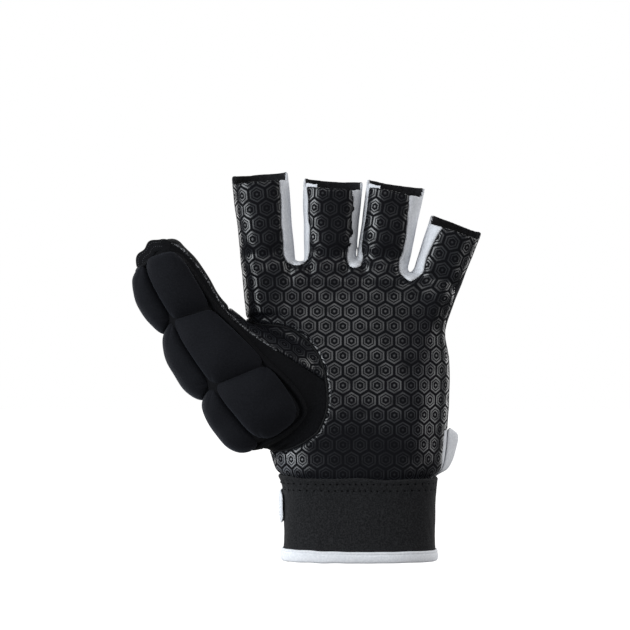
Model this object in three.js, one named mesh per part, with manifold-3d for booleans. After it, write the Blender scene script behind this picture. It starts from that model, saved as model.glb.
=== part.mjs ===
// A left-hand field hockey glove: printed palm, four open finger stalls with white gussets between
// them, a closed thumb stall under six foam blocks, a moulded back and a bound neoprene cuff.
// Millimetres. +Z runs up the fingers, the palm faces -Y and the thumb points towards -X.
// The origin is the middle of the cuff's mouth, where the wrist goes in.
import * as THREE from "three";
import { mergeVertices } from "three/addons/utils/BufferGeometryUtils.js";
import Module from "manifold-3d";

const wasm = await Module();
wasm.setup();

// Driving sizes
const GAP = 0.3; // between two pieces that are sewn together
const PALM_WALL = 1.6; // synthetic leather on its lining
const SIDE_WALL = 2.0;
const BACK_WALL = 2.2; // the moulded back between its blocks
const WEB_WALL = 1.5;
const THUMB_WALL = 2.5;
const CUFF_WALL = 2.8; // neoprene
const SQUARENESS = 2.5; // exponent of every section: 2 is an ellipse, more is boxier
const SIDE_SEAM_Y = 0; // the palm's side seams, halfway round the hand
const GUSSET_BACK_Y = 5; // where the white gussets meet the moulded back
const FAR = 70; // past every surface, for cutting tools
const WELD = 0.08; // faces and edges closer than this run together

// Body sections. left and right are measured across from the section's middle, front towards the
// palm and back away from it, and lift raises the section's back edge. s runs along the frame.
const PALM = {
  frame: { x: 0, z: 0, lean: 0 },
  sides: 32,
  rows: [
    { s: 34, left: 32.0, right: 31.6, front: 20.2, back: 20.2 },
    { s: 37.4, left: 33.0, right: 32.6, front: 21.0, back: 20.8 },
    { s: 40.2, left: 37.8, right: 35.6, front: 22.2, back: 21.4 },
    { s: 50, left: 40.2, right: 37.6, front: 21.8, back: 19.5 },
    { s: 62, left: 41.8, right: 38.9, front: 20.6, back: 17.8 },
    { s: 76, left: 44.6, right: 40.6, front: 19.0, back: 16.2 },
    { s: 90, left: 47.4, right: 40.3, front: 17.2, back: 15.2 },
    { s: 104, left: 49.4, right: 38.5, front: 15.2, back: 14.2 },
    { s: 116, left: 50.8, right: 40.5, front: 12.8, back: 12.6 },
    { s: 124, left: 51.2, right: 40.0, front: 11.2, back: 11.2 },
  ],
  roundEnd: 5,
};

// One row for each finger: the frame's foot and lean, the length, and half widths up the stall.
const FINGERS = [
  { name: "index", x: -39.7, z: 120, lean: -5.4, top: 50.2, base: 12.2, middle: 12.3, mouth: 12.7 },
  { name: "middle", x: -14.4, z: 120, lean: 3.1, top: 46.9, base: 11.2, middle: 12.3, mouth: 13.2 },
  { name: "ring", x: 8.2, z: 120, lean: 9.6, top: 46.0, base: 11.4, middle: 12.3, mouth: 13.1 },
  { name: "little", x: 29.8, z: 112, lean: 19.3, top: 37.8, base: 11.0, middle: 11.5, mouth: 12.1 },
];
const FINGER_SIDES = 20;
const FINGER_FRONT = 11.6;
const FINGER_BACK = 11.4;
const FINGER_FOOT = -10; // the stall starts inside the palm
const MOUTH_LIFT = 4.0; // the back edge of a stall stands above its front edge
const LIFT_FROM_Y = -5;
const LIFT_TO_Y = 3;

// The webs between the fingers, each a short rounded post inside the palm's top edge.
const WEBS = [
  { name: "index_middle", x: -27.0, top: 134.6, half: 6.4, depth: 10.6 },
  { name: "middle_ring", x: -2.0, top: 135.0, half: 6.2, depth: 10.6 },
  { name: "ring_little", x: 22.8, top: 127.6, half: 7.4, depth: 10.6 },
];
const WEB_FOOT = 112;
const WEB_ROUND = 5;
const WEB_SIDES = 14;

// The thumb's sections. q and y move the section's middle off the frame's line.
const THUMB = {
  frame: { x: -40, z: 77, lean: -37 },
  sides: 26,
  rows: [
    { s: -21.5, q: -4.0, y: -6.0, left: 15.5, right: 21.0, front: 11.5, back: 10.0 },
    { s: -14, q: -5.0, y: -6.0, left: 17.5, right: 28.0, front: 16.5, back: 12.0 },
    { s: 0, q: -5.0, y: -6.0, left: 18.2, right: 32.0, front: 19.0, back: 13.0 },
    { s: 14, q: -5.5, y: -7.0, left: 18.0, right: 26.0, front: 19.0, back: 13.0 },
    { s: 28, q: -6.0, y: -8.0, left: 16.6, right: 17.6, front: 17.0, back: 13.0 },
    { s: 44, q: -6.6, y: -9.0, left: 13.6, right: 13.9, front: 14.0, back: 12.5 },
    { s: 56, q: -5.0, y: -10.0, left: 12.6, right: 13.2, front: 13.0, back: 12.0 },
    { s: 66, q: -3.6, y: -10.5, left: 12.8, right: 13.3, front: 12.5, back: 12.0 },
    { s: 75, q: -2.2, y: -11.0, left: 12.4, right: 12.1, front: 12.0, back: 11.5 },
  ],
  roundEnd: 8.6,
};

// The cuff's sections, from inside its binding to the flared edge over the palm.
const CUFF = {
  frame: { x: 0, z: 0, lean: 0 },
  sides: 32,
  rows: [
    { s: 1.8, left: 34.5, right: 34.4, front: 23.0, back: 23.0 },
    { s: 20, left: 34.1, right: 34.2, front: 22.9, back: 22.9 },
    { s: 28, left: 34.0, right: 34.4, front: 23.0, back: 23.0 },
    { s: 33, left: 35.0, right: 35.0, front: 23.7, back: 23.7 },
    { s: 37.2, left: 36.6, right: 36.0, front: 24.6, back: 24.6 },
  ],
};
const BINDING_TOP = 5.3;
const BINDING_WALL = 0.9;

// Seams, as they run across the palm in front view: x at each height z.
const GUSSETS = [
  {
    name: "gusset_index_middle",
    foot: { x: -28.1, z: 132.4 },
    rows: [
      { z: 180, left: -35.4, right: -24.2 },
      { z: 157, left: -34.9, right: -23.4 },
      { z: 140, left: -33.8, right: -23.2 },
      { z: 134.4, left: -33.2, right: -24.2 },
    ],
  },
  {
    name: "gusset_middle_ring",
    foot: { x: -2.2, z: 131.4 },
    rows: [
      { z: 176, left: -2.4, right: 5.4 },
      { z: 157, left: -3.1, right: 2.7 },
      { z: 147, left: -3.8, right: 1.1 },
      { z: 137, left: -4.8, right: 0.9 },
      { z: 133.4, left: -5.0, right: 0.8 },
    ],
  },
  {
    name: "gusset_ring_little",
    foot: { x: 22.8, z: 125.0 },
    rows: [
      { z: 176, left: 23.4, right: 58 },
      { z: 152, left: 21.7, right: 39.2 },
      { z: 146, left: 21.0, right: 34.7 },
      { z: 140, left: 19.8, right: 31.4 },
      { z: 135, left: 18.2, right: 29.2 },
      { z: 129, left: 18.8, right: 27.9 },
    ],
  },
];
const THUMB_HOLE = { x: -40, z: 77.2, wide: 25.9, high: 27.7 };
const THUMB_SIDE = [
  // round the thumb, left of the palm, seen from the front
  [-49.2, 107.6], [-55.5, 114.5], [-60, 152], [-125, 152], [-125, 38], [-40, 49.6], [-39, 70], [-43, 92],
];
const THUMB_SEAM = [
  // from the thumb's inner edge down across the ball of the thumb
  [-42, 160], [-50, 125], [-59.6, 113.2], [-15.5, 80.3], [5, 65],
];
const WRIST_VENT = { low: 39.2, high: 60, lowX: 34.2, highX: 37.6, back: 6 };

// The padded guard on the thumb: its right edge, in the thumb's frame.
const GUARD_EDGE = [
  { s: 81, q: -9 },
  { s: 79, q: -2 },
  { s: 75, q: 3 },
  { s: 68, q: 5.2 },
  { s: 45, q: 4.2 },
  { s: 31, q: 5.7 },
  { s: 16, q: 7.0 },
  { s: -2, q: 9.7 },
  { s: -12, q: 9.7 },
  { s: -18, q: 7.3 },
  { s: -20.6, q: 2.2 },
  { s: -21, q: -6 },
  { s: -20, q: -15 },
];
const GUARD_FAR = { q: -45, low: -14, high: 81 }; // clear of the thumb's outer side
const GUARD_WALL = 1.5;
const GUARD_BACK_Y = 1.5;

// Foam blocks on the thumb guard. Angles go round the thumb from its front, minus to the left.
const BLOCK_HEIGHT = 6.4;
const BLOCK_EDGE = 1.0; // the cover's thickness where a block meets the guard
const BLOCK_GROOVE = 0.45; // half of the groove between two blocks
const BLOCK_RIDGE_DEG = -38;
const BLOCK_COLUMNS = [
  { name: "inner", from: -38, to: 27, chevron: -6.5 },
  { name: "outer", from: -112, to: -38, chevron: -4 },
];
const BLOCK_ROWS = [
  { name: "tip", low: 51, high: 79 },
  { name: "knuckle", low: 17, high: 51 },
  { name: "base", low: -17, high: 17 },
];

// Foam blocks on the back: two on each finger, and two for each finger on the hand.
const BACK_BLOCK_HEIGHT = 4.6;
const BACK_BLOCK_EDGE = 0.8; // a block's height where it turns down to the back
const BACK_BLOCK_ROOT = 0.7; // how far its underside dips before the back is cut away from it
const BACK_ON_FINGER = [
  { name: "low", low: 0.34, high: 0.63 },
  { name: "high", low: 0.67, high: 0.95 },
];
const BACK_FINGER_HALF = 9.2;
const BACK_COLUMNS = [
  { name: "index", low: -44, high: -26.6, lean: -0.04 },
  { name: "middle", low: -24.6, high: -4.4, lean: 0.0 },
  { name: "ring", low: -2.4, high: 17.4, lean: 0.05 },
  { name: "little", low: 19.4, high: 34.0, lean: 0.09 },
];
const BACK_ROWS = [
  { name: "low", low: 66, high: 91 },
  { name: "high", low: 94, high: 119 },
];

// The closure strap round the back of the wrist. deg 90 is the far side and 270 the thumb side; low
// and high are its edges' heights, and lowOut and highOut how far they stand off the wrist.
const WRIST = { left: 34.4, right: 34.4, front: 23, back: 23, s: 0 };
const STRAP_THICK = 1.3;
const STRAP_STEPS = 18;
const STRAP_END = 0.82; // the width left at the ends, whose corners are rounded
const STRAP_ROWS = [
  { deg: 270, low: 17.0, high: 31.0, lowOut: 0.1, highOut: 0.5 },
  { deg: 240, low: 17.6, high: 33.0, lowOut: 0.6, highOut: 1.6 },
  { deg: 210, low: 18.6, high: 37.0, lowOut: 0.7, highOut: 2.6 },
  { deg: 180, low: 22, high: 43.0, lowOut: 1.0, highOut: 3.4 },
  { deg: 150, low: 26, high: 49.0, lowOut: 1.8, highOut: 4.6 },
  { deg: 120, low: 32, high: 55.0, lowOut: 2.4, highOut: 6.4 },
  { deg: 92, low: 38.9, high: 59.4, lowOut: 2.2, highOut: 8.8 },
];

const radians = THREE.MathUtils.degToRad;

// A point of a frame: q across, y through and s along it.
function place(frame, q, y, s) {
  const lean = radians(frame.lean);
  return new THREE.Vector3(
    frame.x + q * Math.cos(lean) + s * Math.sin(lean),
    y,
    frame.z - q * Math.sin(lean) + s * Math.cos(lean),
  );
}

// Rows that close a loft with a quarter round of the given length.
function roundedRows(rows, length, steps = 4) {
  const last = rows[rows.length - 1];
  const ends = Array.from({ length: steps }, (_, i) => {
    const turn = radians((86 * (i + 1)) / steps);
    const share = Math.cos(turn);
    return {
      ...last,
      s: last.s + length * Math.sin(turn),
      left: last.left * share,
      right: last.right * share,
      front: last.front * share,
      back: last.back * share,
    };
  });
  return [...rows, ...ends];
}

// A row moved in or out all round by its walls.
function grown(row, side, front = side, back = side) {
  return {
    ...row,
    left: Math.max(row.left + side, 0.4),
    right: Math.max(row.right + side, 0.4),
    front: Math.max(row.front + front, 0.4),
    back: Math.max(row.back + back, 0.4),
  };
}

// The point of a section at an angle: 0 is the front, 90 the right, -90 the left.
function sectionPoint(frame, row, degrees) {
  const across = Math.sin(radians(degrees));
  const away = -Math.cos(radians(degrees));
  const wide = across > 0 ? row.right : row.left;
  const deep = away > 0 ? row.back : row.front;
  const reach =
    (Math.abs(across / wide) ** SQUARENESS + Math.abs(away / deep) ** SQUARENESS) ** (-1 / SQUARENESS);
  const y = (row.y ?? 0) + away * reach;
  const lift = (row.lift ?? 0) * THREE.MathUtils.smoothstep(y, LIFT_FROM_Y, LIFT_TO_Y);
  return place(frame, (row.q ?? 0) + across * reach, y, row.s + lift);
}

// The section at any s, on a smooth curve through the rows.
function rowAt(rows, s) {
  let i = rows.findIndex((row) => row.s >= s);
  i = THREE.MathUtils.clamp(i < 0 ? rows.length - 1 : i, 1, rows.length - 1);
  const low = rows[i - 1];
  const high = rows[i];
  const before = rows[i - 2] ?? low;
  const after = rows[i + 1] ?? high;
  const span = high.s - low.s;
  const t = (s - low.s) / span;
  const column = (name) => {
    const value = (row) => row[name] ?? 0;
    const start = ((value(high) - value(before)) / (high.s - before.s)) * span;
    const end = ((value(after) - value(low)) / (after.s - low.s)) * span;
    const rise = value(high) - value(low);
    const cubic = start + end - 2 * rise;
    return value(low) + t * (start + t * (rise - start - cubic + t * cubic));
  };
  return {
    s,
    q: column("q"),
    y: column("y"),
    left: column("left"),
    right: column("right"),
    front: column("front"),
    back: column("back"),
  };
}

function geometryOf(points, faces) {
  const geometry = new THREE.BufferGeometry();
  geometry.setAttribute("position", new THREE.Float32BufferAttribute(points.flatMap((p) => p.toArray()), 3));
  geometry.setIndex(faces.flat());
  return geometry;
}

// A closed body through its sections.
function loft(frame, rows, sides) {
  const points = [];
  const faces = [];
  for (const row of rows)
    for (let k = 0; k < sides; k++) points.push(sectionPoint(frame, row, 90 + (360 * k) / sides));
  for (let i = 0; i + 1 < rows.length; i++)
    for (let k = 0; k < sides; k++) {
      const a = i * sides + k;
      const b = i * sides + ((k + 1) % sides);
      faces.push([a, b, b + sides], [a, b + sides, a + sides]);
    }
  const first = rows[0];
  const last = rows[rows.length - 1];
  const top = (rows.length - 1) * sides;
  const foot = points.push(place(frame, first.q ?? 0, first.y ?? 0, first.s)) - 1;
  const head = points.push(place(frame, last.q ?? 0, last.y ?? 0, last.s)) - 1;
  for (let k = 0; k < sides; k++) {
    const next = (k + 1) % sides;
    faces.push([foot, next, k], [head, top + k, top + next]);
  }
  return solidOf(geometryOf(points, faces));
}

// A closed slab over a grid: point(u, v, side) gives its outer face at side 1, its inner at 0.
function slab(across, along, point) {
  const points = [];
  const faces = [];
  const index = (i, j, side) => (side * (along + 1) + j) * (across + 1) + i;
  for (const side of [0, 1])
    for (let j = 0; j <= along; j++)
      for (let i = 0; i <= across; i++) points.push(point(i / across, j / along, side));
  const quad = (a, b, c, d) => faces.push([a, b, c], [a, c, d]);
  for (let j = 0; j < along; j++)
    for (let i = 0; i < across; i++) {
      quad(index(i, j, 1), index(i + 1, j, 1), index(i + 1, j + 1, 1), index(i, j + 1, 1));
      quad(index(i, j, 0), index(i, j + 1, 0), index(i + 1, j + 1, 0), index(i + 1, j, 0));
    }
  for (let i = 0; i < across; i++) {
    quad(index(i, 0, 0), index(i + 1, 0, 0), index(i + 1, 0, 1), index(i, 0, 1));
    quad(index(i + 1, along, 0), index(i, along, 0), index(i, along, 1), index(i + 1, along, 1));
  }
  for (let j = 0; j < along; j++) {
    quad(index(0, j + 1, 0), index(0, j, 0), index(0, j, 1), index(0, j + 1, 1));
    quad(index(across, j, 0), index(across, j + 1, 0), index(across, j + 1, 1), index(across, j, 1));
  }
  return solidOf(geometryOf(points, faces));
}

// A prism through the glove from a front-view outline of [x, z] points.
function prism(outline, nearY, farY) {
  const shape = new THREE.Shape(outline.map(([x, z]) => new THREE.Vector2(x, z)));
  const geometry = new THREE.ExtrudeGeometry(shape, { depth: farY - nearY, bevelEnabled: false });
  geometry.rotateX(Math.PI / 2).translate(0, farY, 0);
  return solidOf(geometry);
}

function box(low, high) {
  const geometry = new THREE.BoxGeometry(high[0] - low[0], high[1] - low[1], high[2] - low[2]);
  geometry.translate((low[0] + high[0]) / 2, (low[1] + high[1]) / 2, (low[2] + high[2]) / 2);
  return solidOf(geometry);
}

function solidOf(geometry) {
  const bare = geometry.clone();
  bare.deleteAttribute("normal");
  bare.deleteAttribute("uv");
  const merged = mergeVertices(bare, 1e-4);
  const vertProperties = merged.attributes.position.array;
  const triVerts = new Uint32Array(merged.index.array);
  return new wasm.Manifold(new wasm.Mesh({ numProp: 3, vertProperties, triVerts }));
}

function union(solids) {
  return solids.reduce((whole, solid) => whole.add(solid));
}

// Cutting leaves crumbs beside the piece, so the largest body is the piece.
function largest(solid) {
  return solid.decompose().sort((a, b) => b.volume() - a.volume())[0];
}

// Finger stalls, webs, palm and thumb, each as the sections of a loft.
function fingerRows(finger) {
  const depth = { front: FINGER_FRONT, back: FINGER_BACK };
  const half = (width) => ({ left: width, right: width, ...depth });
  return [
    { s: FINGER_FOOT, ...half(finger.base - 1), front: FINGER_FRONT - 1, back: FINGER_BACK - 1 },
    { s: 12, ...half(finger.base) },
    { s: finger.top * 0.66, lift: MOUTH_LIFT * 0.4, ...half(finger.middle) },
    { s: finger.top, lift: MOUTH_LIFT, ...half(finger.mouth) },
  ];
}

function webRows(web) {
  const half = { left: web.half, right: web.half, front: web.depth, back: web.depth };
  return roundedRows([{ s: WEB_FOOT, ...half }, { s: web.top - WEB_ROUND, ...half }], WEB_ROUND, 3);
}

const palmRows = roundedRows(PALM.rows, PALM.roundEnd, 2);
const thumbRows = roundedRows(THUMB.rows, THUMB.roundEnd);

function bodyOf(parts) {
  return union(parts.map((part) => loft(part.frame, part.rows, part.sides)));
}

// The glove's whole outer form, moved out all round by a clearance.
function outerForm(clear = 0) {
  const rows = (bare) => bare.map((row) => grown(row, clear));
  return bodyOf([
    { frame: PALM.frame, rows: rows(palmRows), sides: PALM.sides },
    ...FINGERS.map((finger) => ({ frame: finger, rows: rows(fingerRows(finger)), sides: FINGER_SIDES })),
    ...WEBS.map((web) => ({
      frame: { x: web.x, z: 0, lean: 0 },
      rows: rows(webRows(web)),
      sides: WEB_SIDES,
    })),
    { frame: THUMB.frame, rows: rows(thumbRows), sides: THUMB.sides },
  ]);
}

const outerBody = outerForm();

// The hollow is the same body inside its walls, run out through the mouths.
function hollowFingerRows(finger) {
  const rows = fingerRows(finger).map((row) => grown(row, -SIDE_WALL, -PALM_WALL, -BACK_WALL));
  const mouth = rows[rows.length - 1];
  return [...rows, { ...mouth, s: mouth.s + 6 }];
}

function hollowPalmRows() {
  const rows = PALM.rows.map((row) => grown(row, -SIDE_WALL, -PALM_WALL, -BACK_WALL));
  const foot = { ...rows[0], s: rows[0].s - 3 };
  return roundedRows([foot, ...rows], PALM.roundEnd - PALM_WALL, 2);
}

const hollowBody = bodyOf([
  { frame: PALM.frame, rows: hollowPalmRows(), sides: PALM.sides },
  ...FINGERS.map((finger) => ({ frame: finger, rows: hollowFingerRows(finger), sides: FINGER_SIDES })),
  ...WEBS.map((web) => ({
    frame: { x: web.x, z: -WEB_WALL, lean: 0 },
    rows: webRows(web).map((row) => grown(row, -WEB_WALL)),
    sides: WEB_SIDES,
  })),
  {
    frame: THUMB.frame,
    rows: roundedRows(THUMB.rows.map((row) => grown(row, -THUMB_WALL)), THUMB.roundEnd - THUMB_WALL),
    sides: THUMB.sides,
  },
]);

const shell = outerBody.subtract(hollowBody);
const clearOfBody = outerForm(GAP);

// Regions that the seams enclose, grown a little where a neighbour is cut back from them.
function gussetRegion(gusset, grow = 0) {
  const left = gusset.rows.map((row) => [row.left - grow, row.z]);
  const right = gusset.rows.map((row) => [row.right + grow, row.z]).reverse();
  const outline = [...left, [gusset.foot.x, gusset.foot.z - grow], ...right];
  return prism(outline, -FAR, GUSSET_BACK_Y + grow);
}

function thumbRegion(grow = 0) {
  const hole = Array.from({ length: 32 }, (_, k) => {
    const turn = (2 * Math.PI * k) / 32;
    return [
      THUMB_HOLE.x + (THUMB_HOLE.wide + grow) * Math.cos(turn),
      THUMB_HOLE.z + (THUMB_HOLE.high + grow) * Math.sin(turn),
    ];
  });
  const side = THUMB_SIDE.map(([x, z], k) => {
    const inner = k < 3 || k > 4; // the corners that face the palm
    return inner ? [x + grow, z + (k < 3 ? grow : 0) - (k === 5 ? grow : 0)] : [x, z];
  });
  return prism(hole, -FAR, SIDE_SEAM_Y).add(prism(side, -FAR, FAR));
}

// The printed half of the thumb, on the inner side of its long seam.
function printedThumbRegion(grow = 0) {
  const seam = THUMB_SEAM.map(([x, z]) => [x - grow, z - grow]);
  return prism([...seam, [20, 160]], -FAR, FAR);
}

function ventRegion(grow = 0) {
  const outline = [
    [WRIST_VENT.lowX - grow, WRIST_VENT.low - grow],
    [FAR, WRIST_VENT.low - grow],
    [FAR, WRIST_VENT.high + grow],
    [WRIST_VENT.highX - grow, WRIST_VENT.high + grow],
  ];
  return prism(outline, -FAR, WRIST_VENT.back + grow);
}

// A pillow's height over its footprint, 1 in the middle and 0 on the edge.
function pillow(u, v) {
  const side = (t) => Math.max(1 - Math.abs(2 * t - 1) ** 3.4, 0) ** 0.5;
  return side(u) * side(v);
}

function thumbSurface(s, degrees, out) {
  return sectionPoint(THUMB.frame, grown(rowAt(thumbRows, s), out), degrees);
}

// One foam block on the thumb guard, between two angles and two rows.
function thumbBlock(column, row) {
  const groove = (BLOCK_GROOVE / THUMB.rows[5].left) * (180 / Math.PI);
  const seat = GAP + GUARD_WALL + GAP;
  return slab(7, 8, (u, v, side) => {
    const degrees = THREE.MathUtils.lerp(column.from + groove, column.to - groove, u);
    const fromRidge = Math.abs(degrees - BLOCK_RIDGE_DEG) / 65;
    const low = row.low + BLOCK_GROOVE + column.chevron * fromRidge * (row.low > 0 ? 1 : 0);
    const high = row.high - BLOCK_GROOVE + column.chevron * fromRidge;
    const rise = side ? BLOCK_EDGE + BLOCK_HEIGHT * pillow(u, v) : 0;
    return thumbSurface(THREE.MathUtils.lerp(low, high, v), degrees, seat + rise);
  });
}

// The guard's cover: a thin layer over the thumb's front and outer side.
function thumbGuard() {
  const layer = (out) => loft(THUMB.frame, thumbRows.map((row) => grown(row, out)), THUMB.sides);
  const edge = GUARD_EDGE.map(({ s, q }) => place(THUMB.frame, q, 0, s));
  const far = [GUARD_FAR.low, GUARD_FAR.high].map((s) => place(THUMB.frame, GUARD_FAR.q, 0, s));
  const outline = [...edge, ...far];
  const region = prism(outline.map((p) => [p.x, p.z]), -FAR, GUARD_BACK_Y);
  return layer(GAP + GUARD_WALL)
    .subtract(layer(GAP))
    .subtract(outerBody)
    .intersect(region);
}

// The back's surface in front view, for blocks that stand up from it.
function backSurface(rows, q, s) {
  const row = rowAt(rows, s);
  const wide = q > 0 ? row.right : row.left;
  return row.back * Math.max(1 - Math.abs(q / wide) ** SQUARENESS, 0) ** (1 / SQUARENESS);
}

// One foam block on the back, over an outline that gives q and s for each u and v.
function backBlock(frame, rows, outline) {
  const block = slab(4, 5, (u, v, side) => {
    const [q, s] = outline(1 - u, v);
    const rise = side ? BACK_BLOCK_EDGE + BACK_BLOCK_HEIGHT * pillow(u, v) : -BACK_BLOCK_ROOT;
    return place(frame, q, backSurface(rows, q, s) + rise, s);
  });
  return block.subtract(clearOfBody);
}

function fingerBackBlock(finger, part) {
  const { lerp } = THREE.MathUtils;
  return backBlock(finger, fingerRows(finger), (u, v) => [
    lerp(-BACK_FINGER_HALF, BACK_FINGER_HALF, u),
    lerp(part.low, part.high, v) * finger.top,
  ]);
}

function handBackBlock(column, row) {
  const { lerp } = THREE.MathUtils;
  return backBlock(PALM.frame, palmRows, (u, v) => {
    const s = lerp(row.low, row.high, v);
    return [lerp(column.low, column.high, u) + column.lean * (s - BACK_ROWS[1].low), s];
  });
}

// The pieces
function trimmed(panel) {
  const regions = [...GUSSETS.map((gusset) => gussetRegion(gusset, GAP)), thumbRegion(GAP), ventRegion(GAP)];
  return regions.reduce((rest, region) => rest.subtract(region), panel);
}

function palmPanel() {
  return trimmed(shell.intersect(box([-FAR * 2, -FAR, 0], [FAR * 2, SIDE_SEAM_Y - GAP / 2, FAR * 3])));
}

function backPanel() {
  const behind = box([-FAR * 2, SIDE_SEAM_Y + GAP / 2, 0], [FAR * 2, FAR, FAR * 3]);
  return trimmed(shell.intersect(behind));
}

function cuff() {
  const inner = CUFF.rows.map((row) => grown(row, -CUFF_WALL));
  const ends = [{ ...inner[0], s: inner[0].s - 5 }, ...inner, { ...inner[inner.length - 1], s: 45 }];
  return loft(CUFF.frame, CUFF.rows, CUFF.sides).subtract(loft(CUFF.frame, ends, CUFF.sides));
}

// Tape folded over the cuff's edge, with the cuff's wall in its groove.
function cuffBinding() {
  const section = CUFF.rows[0];
  const ring = (out, low, high) =>
    loft(CUFF.frame, [{ ...grown(section, out), s: low }, { ...grown(section, out), s: high }], CUFF.sides);
  const tape = loft(
    CUFF.frame,
    [
      { ...grown(section, BINDING_WALL - 1), s: 0 },
      { ...grown(section, BINDING_WALL), s: 1.2 },
      { ...grown(section, BINDING_WALL), s: BINDING_TOP },
    ],
    CUFF.sides,
  );
  const groove = ring(GAP, section.s - GAP, BINDING_TOP + 1).subtract(ring(-CUFF_WALL - GAP, 0, BINDING_TOP + 2));
  return tape.subtract(ring(-CUFF_WALL - BINDING_WALL, -1, BINDING_TOP + 1)).subtract(groove);
}

function wristStrap() {
  const { lerp } = THREE.MathUtils;
  return slab(STRAP_STEPS, 3, (u, v, side) => {
    const along = (1 - u) * (STRAP_ROWS.length - 1);
    const i = Math.min(Math.floor(along), STRAP_ROWS.length - 2);
    const mix = (name) => lerp(STRAP_ROWS[i][name], STRAP_ROWS[i + 1][name], along - i);
    const atEnd = Math.min(u, 1 - u) * STRAP_STEPS < 0.5;
    const share = 0.5 + (v - 0.5) * (atEnd ? STRAP_END : 1);
    const out = lerp(mix("lowOut"), mix("highOut"), share) + side * STRAP_THICK;
    const section = { ...grown(WRIST, out), s: lerp(mix("low"), mix("high"), share) };
    return sectionPoint(CUFF.frame, section, mix("deg"));
  });
}

// Finishes
const finish = (color, roughness) => new THREE.MeshStandardMaterial({ color, roughness, metalness: 0 });
const PRINTED_LEATHER = finish("#1b1c20", 0.55);
const NEOPRENE = finish("#141519", 0.85);
const FOAM_COVER = finish("#17181d", 0.9);
const WHITE_STRETCH = finish("#dcdee3", 0.8);

const glove = new THREE.Group();

function addPiece(name, solid, material) {
  const cut = largest(solid).asOriginal().simplify(WELD).getMesh();
  const { vertProperties, triVerts } = new wasm.Manifold(cut).asOriginal().simplify(WELD).getMesh();
  const geometry = new THREE.BufferGeometry();
  geometry.setAttribute("position", new THREE.BufferAttribute(vertProperties, 3));
  geometry.setIndex(new THREE.BufferAttribute(new Uint32Array(triVerts), 1));
  geometry.computeVertexNormals();
  const mesh = new THREE.Mesh(geometry, material);
  mesh.name = name;
  glove.add(mesh);
}

addPiece("palm_panel", palmPanel(), PRINTED_LEATHER);
addPiece("back_panel", backPanel(), NEOPRENE);
for (const finger of FINGERS)
  for (const part of BACK_ON_FINGER)
    addPiece(`back_block_${finger.name}_${part.name}`, fingerBackBlock(finger, part), NEOPRENE);
for (const column of BACK_COLUMNS)
  for (const row of BACK_ROWS)
    addPiece(`back_block_hand_${column.name}_${row.name}`, handBackBlock(column, row), NEOPRENE);
for (const gusset of GUSSETS)
  addPiece(gusset.name, shell.intersect(gussetRegion(gusset)), WHITE_STRETCH);
const thumbShell = shell.intersect(thumbRegion());
addPiece("thumb_outer", thumbShell.subtract(printedThumbRegion(GAP)), NEOPRENE);
addPiece("thumb_inner", thumbShell.intersect(printedThumbRegion()), PRINTED_LEATHER);
addPiece("thumb_guard", thumbGuard(), NEOPRENE);
for (const row of BLOCK_ROWS)
  for (const column of BLOCK_COLUMNS)
    addPiece(`thumb_block_${column.name}_${row.name}`, thumbBlock(column, row), FOAM_COVER);
addPiece("wrist_vent", shell.intersect(ventRegion()), WHITE_STRETCH);
addPiece("cuff", cuff(), NEOPRENE);
addPiece("cuff_binding", cuffBinding(), WHITE_STRETCH);
addPiece("wrist_strap", wristStrap(), WHITE_STRETCH);

export default glove;
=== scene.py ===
import math

import bpy
import numpy as np
import openvdb as vdb
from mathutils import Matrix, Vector


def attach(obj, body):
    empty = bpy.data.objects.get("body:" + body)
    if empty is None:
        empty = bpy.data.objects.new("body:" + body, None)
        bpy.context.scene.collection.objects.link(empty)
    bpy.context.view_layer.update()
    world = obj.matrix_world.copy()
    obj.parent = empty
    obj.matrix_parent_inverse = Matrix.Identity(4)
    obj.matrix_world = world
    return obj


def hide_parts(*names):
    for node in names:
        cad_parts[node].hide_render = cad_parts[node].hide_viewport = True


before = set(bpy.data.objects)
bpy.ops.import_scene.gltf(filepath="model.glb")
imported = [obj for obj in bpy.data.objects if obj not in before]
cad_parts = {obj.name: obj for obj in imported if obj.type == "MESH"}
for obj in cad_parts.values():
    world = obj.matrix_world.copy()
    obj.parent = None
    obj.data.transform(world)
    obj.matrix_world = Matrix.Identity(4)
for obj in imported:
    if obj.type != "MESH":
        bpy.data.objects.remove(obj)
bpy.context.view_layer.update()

MM = 0.001
CELL = 0.6  # the distance fields' grid, in mm
EXPONENT = 2.5  # of every section: 2 is an ellipse, more is boxier


# Sections
def rows_of(columns, table):
    return [dict(zip(columns, row)) for row in table]


PALM = rows_of(
    ("s", "left", "right", "front", "back"),
    [
        (30, 31.0, 30.6, 19.8, 19.8),
        (34, 32.3, 31.7, 20.7, 20.7),
        (37.4, 33.6, 32.8, 21.4, 21.4),
        (41, 37.6, 36.6, 22.2, 21.5),
        (50, 40.2, 38.8, 22.0, 19.5),
        (62, 41.8, 39.7, 21.6, 17.8),
        (76, 44.6, 40.6, 20.2, 16.2),
        (90, 47.4, 40.3, 17.8, 15.2),
        (104, 49.4, 38.5, 15.2, 14.2),
        (116, 50.8, 40.5, 12.6, 12.6),
        (124, 51.2, 40.0, 11.2, 11.2),
    ],
)
FINGERS = rows_of(
    ("name", "x", "z", "lean", "top", "base", "middle", "mouth", "fold"),
    [
        ("index", -39.7, 120, -5.4, 50.2, 12.2, 12.3, 12.7, 17.5),
        ("middle", -14.4, 120, 3.1, 46.9, 11.2, 12.3, 13.2, 17.0),
        ("ring", 8.2, 120, 9.6, 46.0, 11.4, 12.3, 13.1, 16.0),
        ("little", 29.8, 112, 19.3, 37.8, 11.0, 11.5, 12.1, 15.0),
    ],
)
WEBS = rows_of(
    ("x", "top", "half", "depth"),
    [(-27.0, 134.6, 6.4, 10.6), (-2.0, 135.0, 6.2, 10.6), (22.8, 127.6, 7.4, 10.6)],
)
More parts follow.
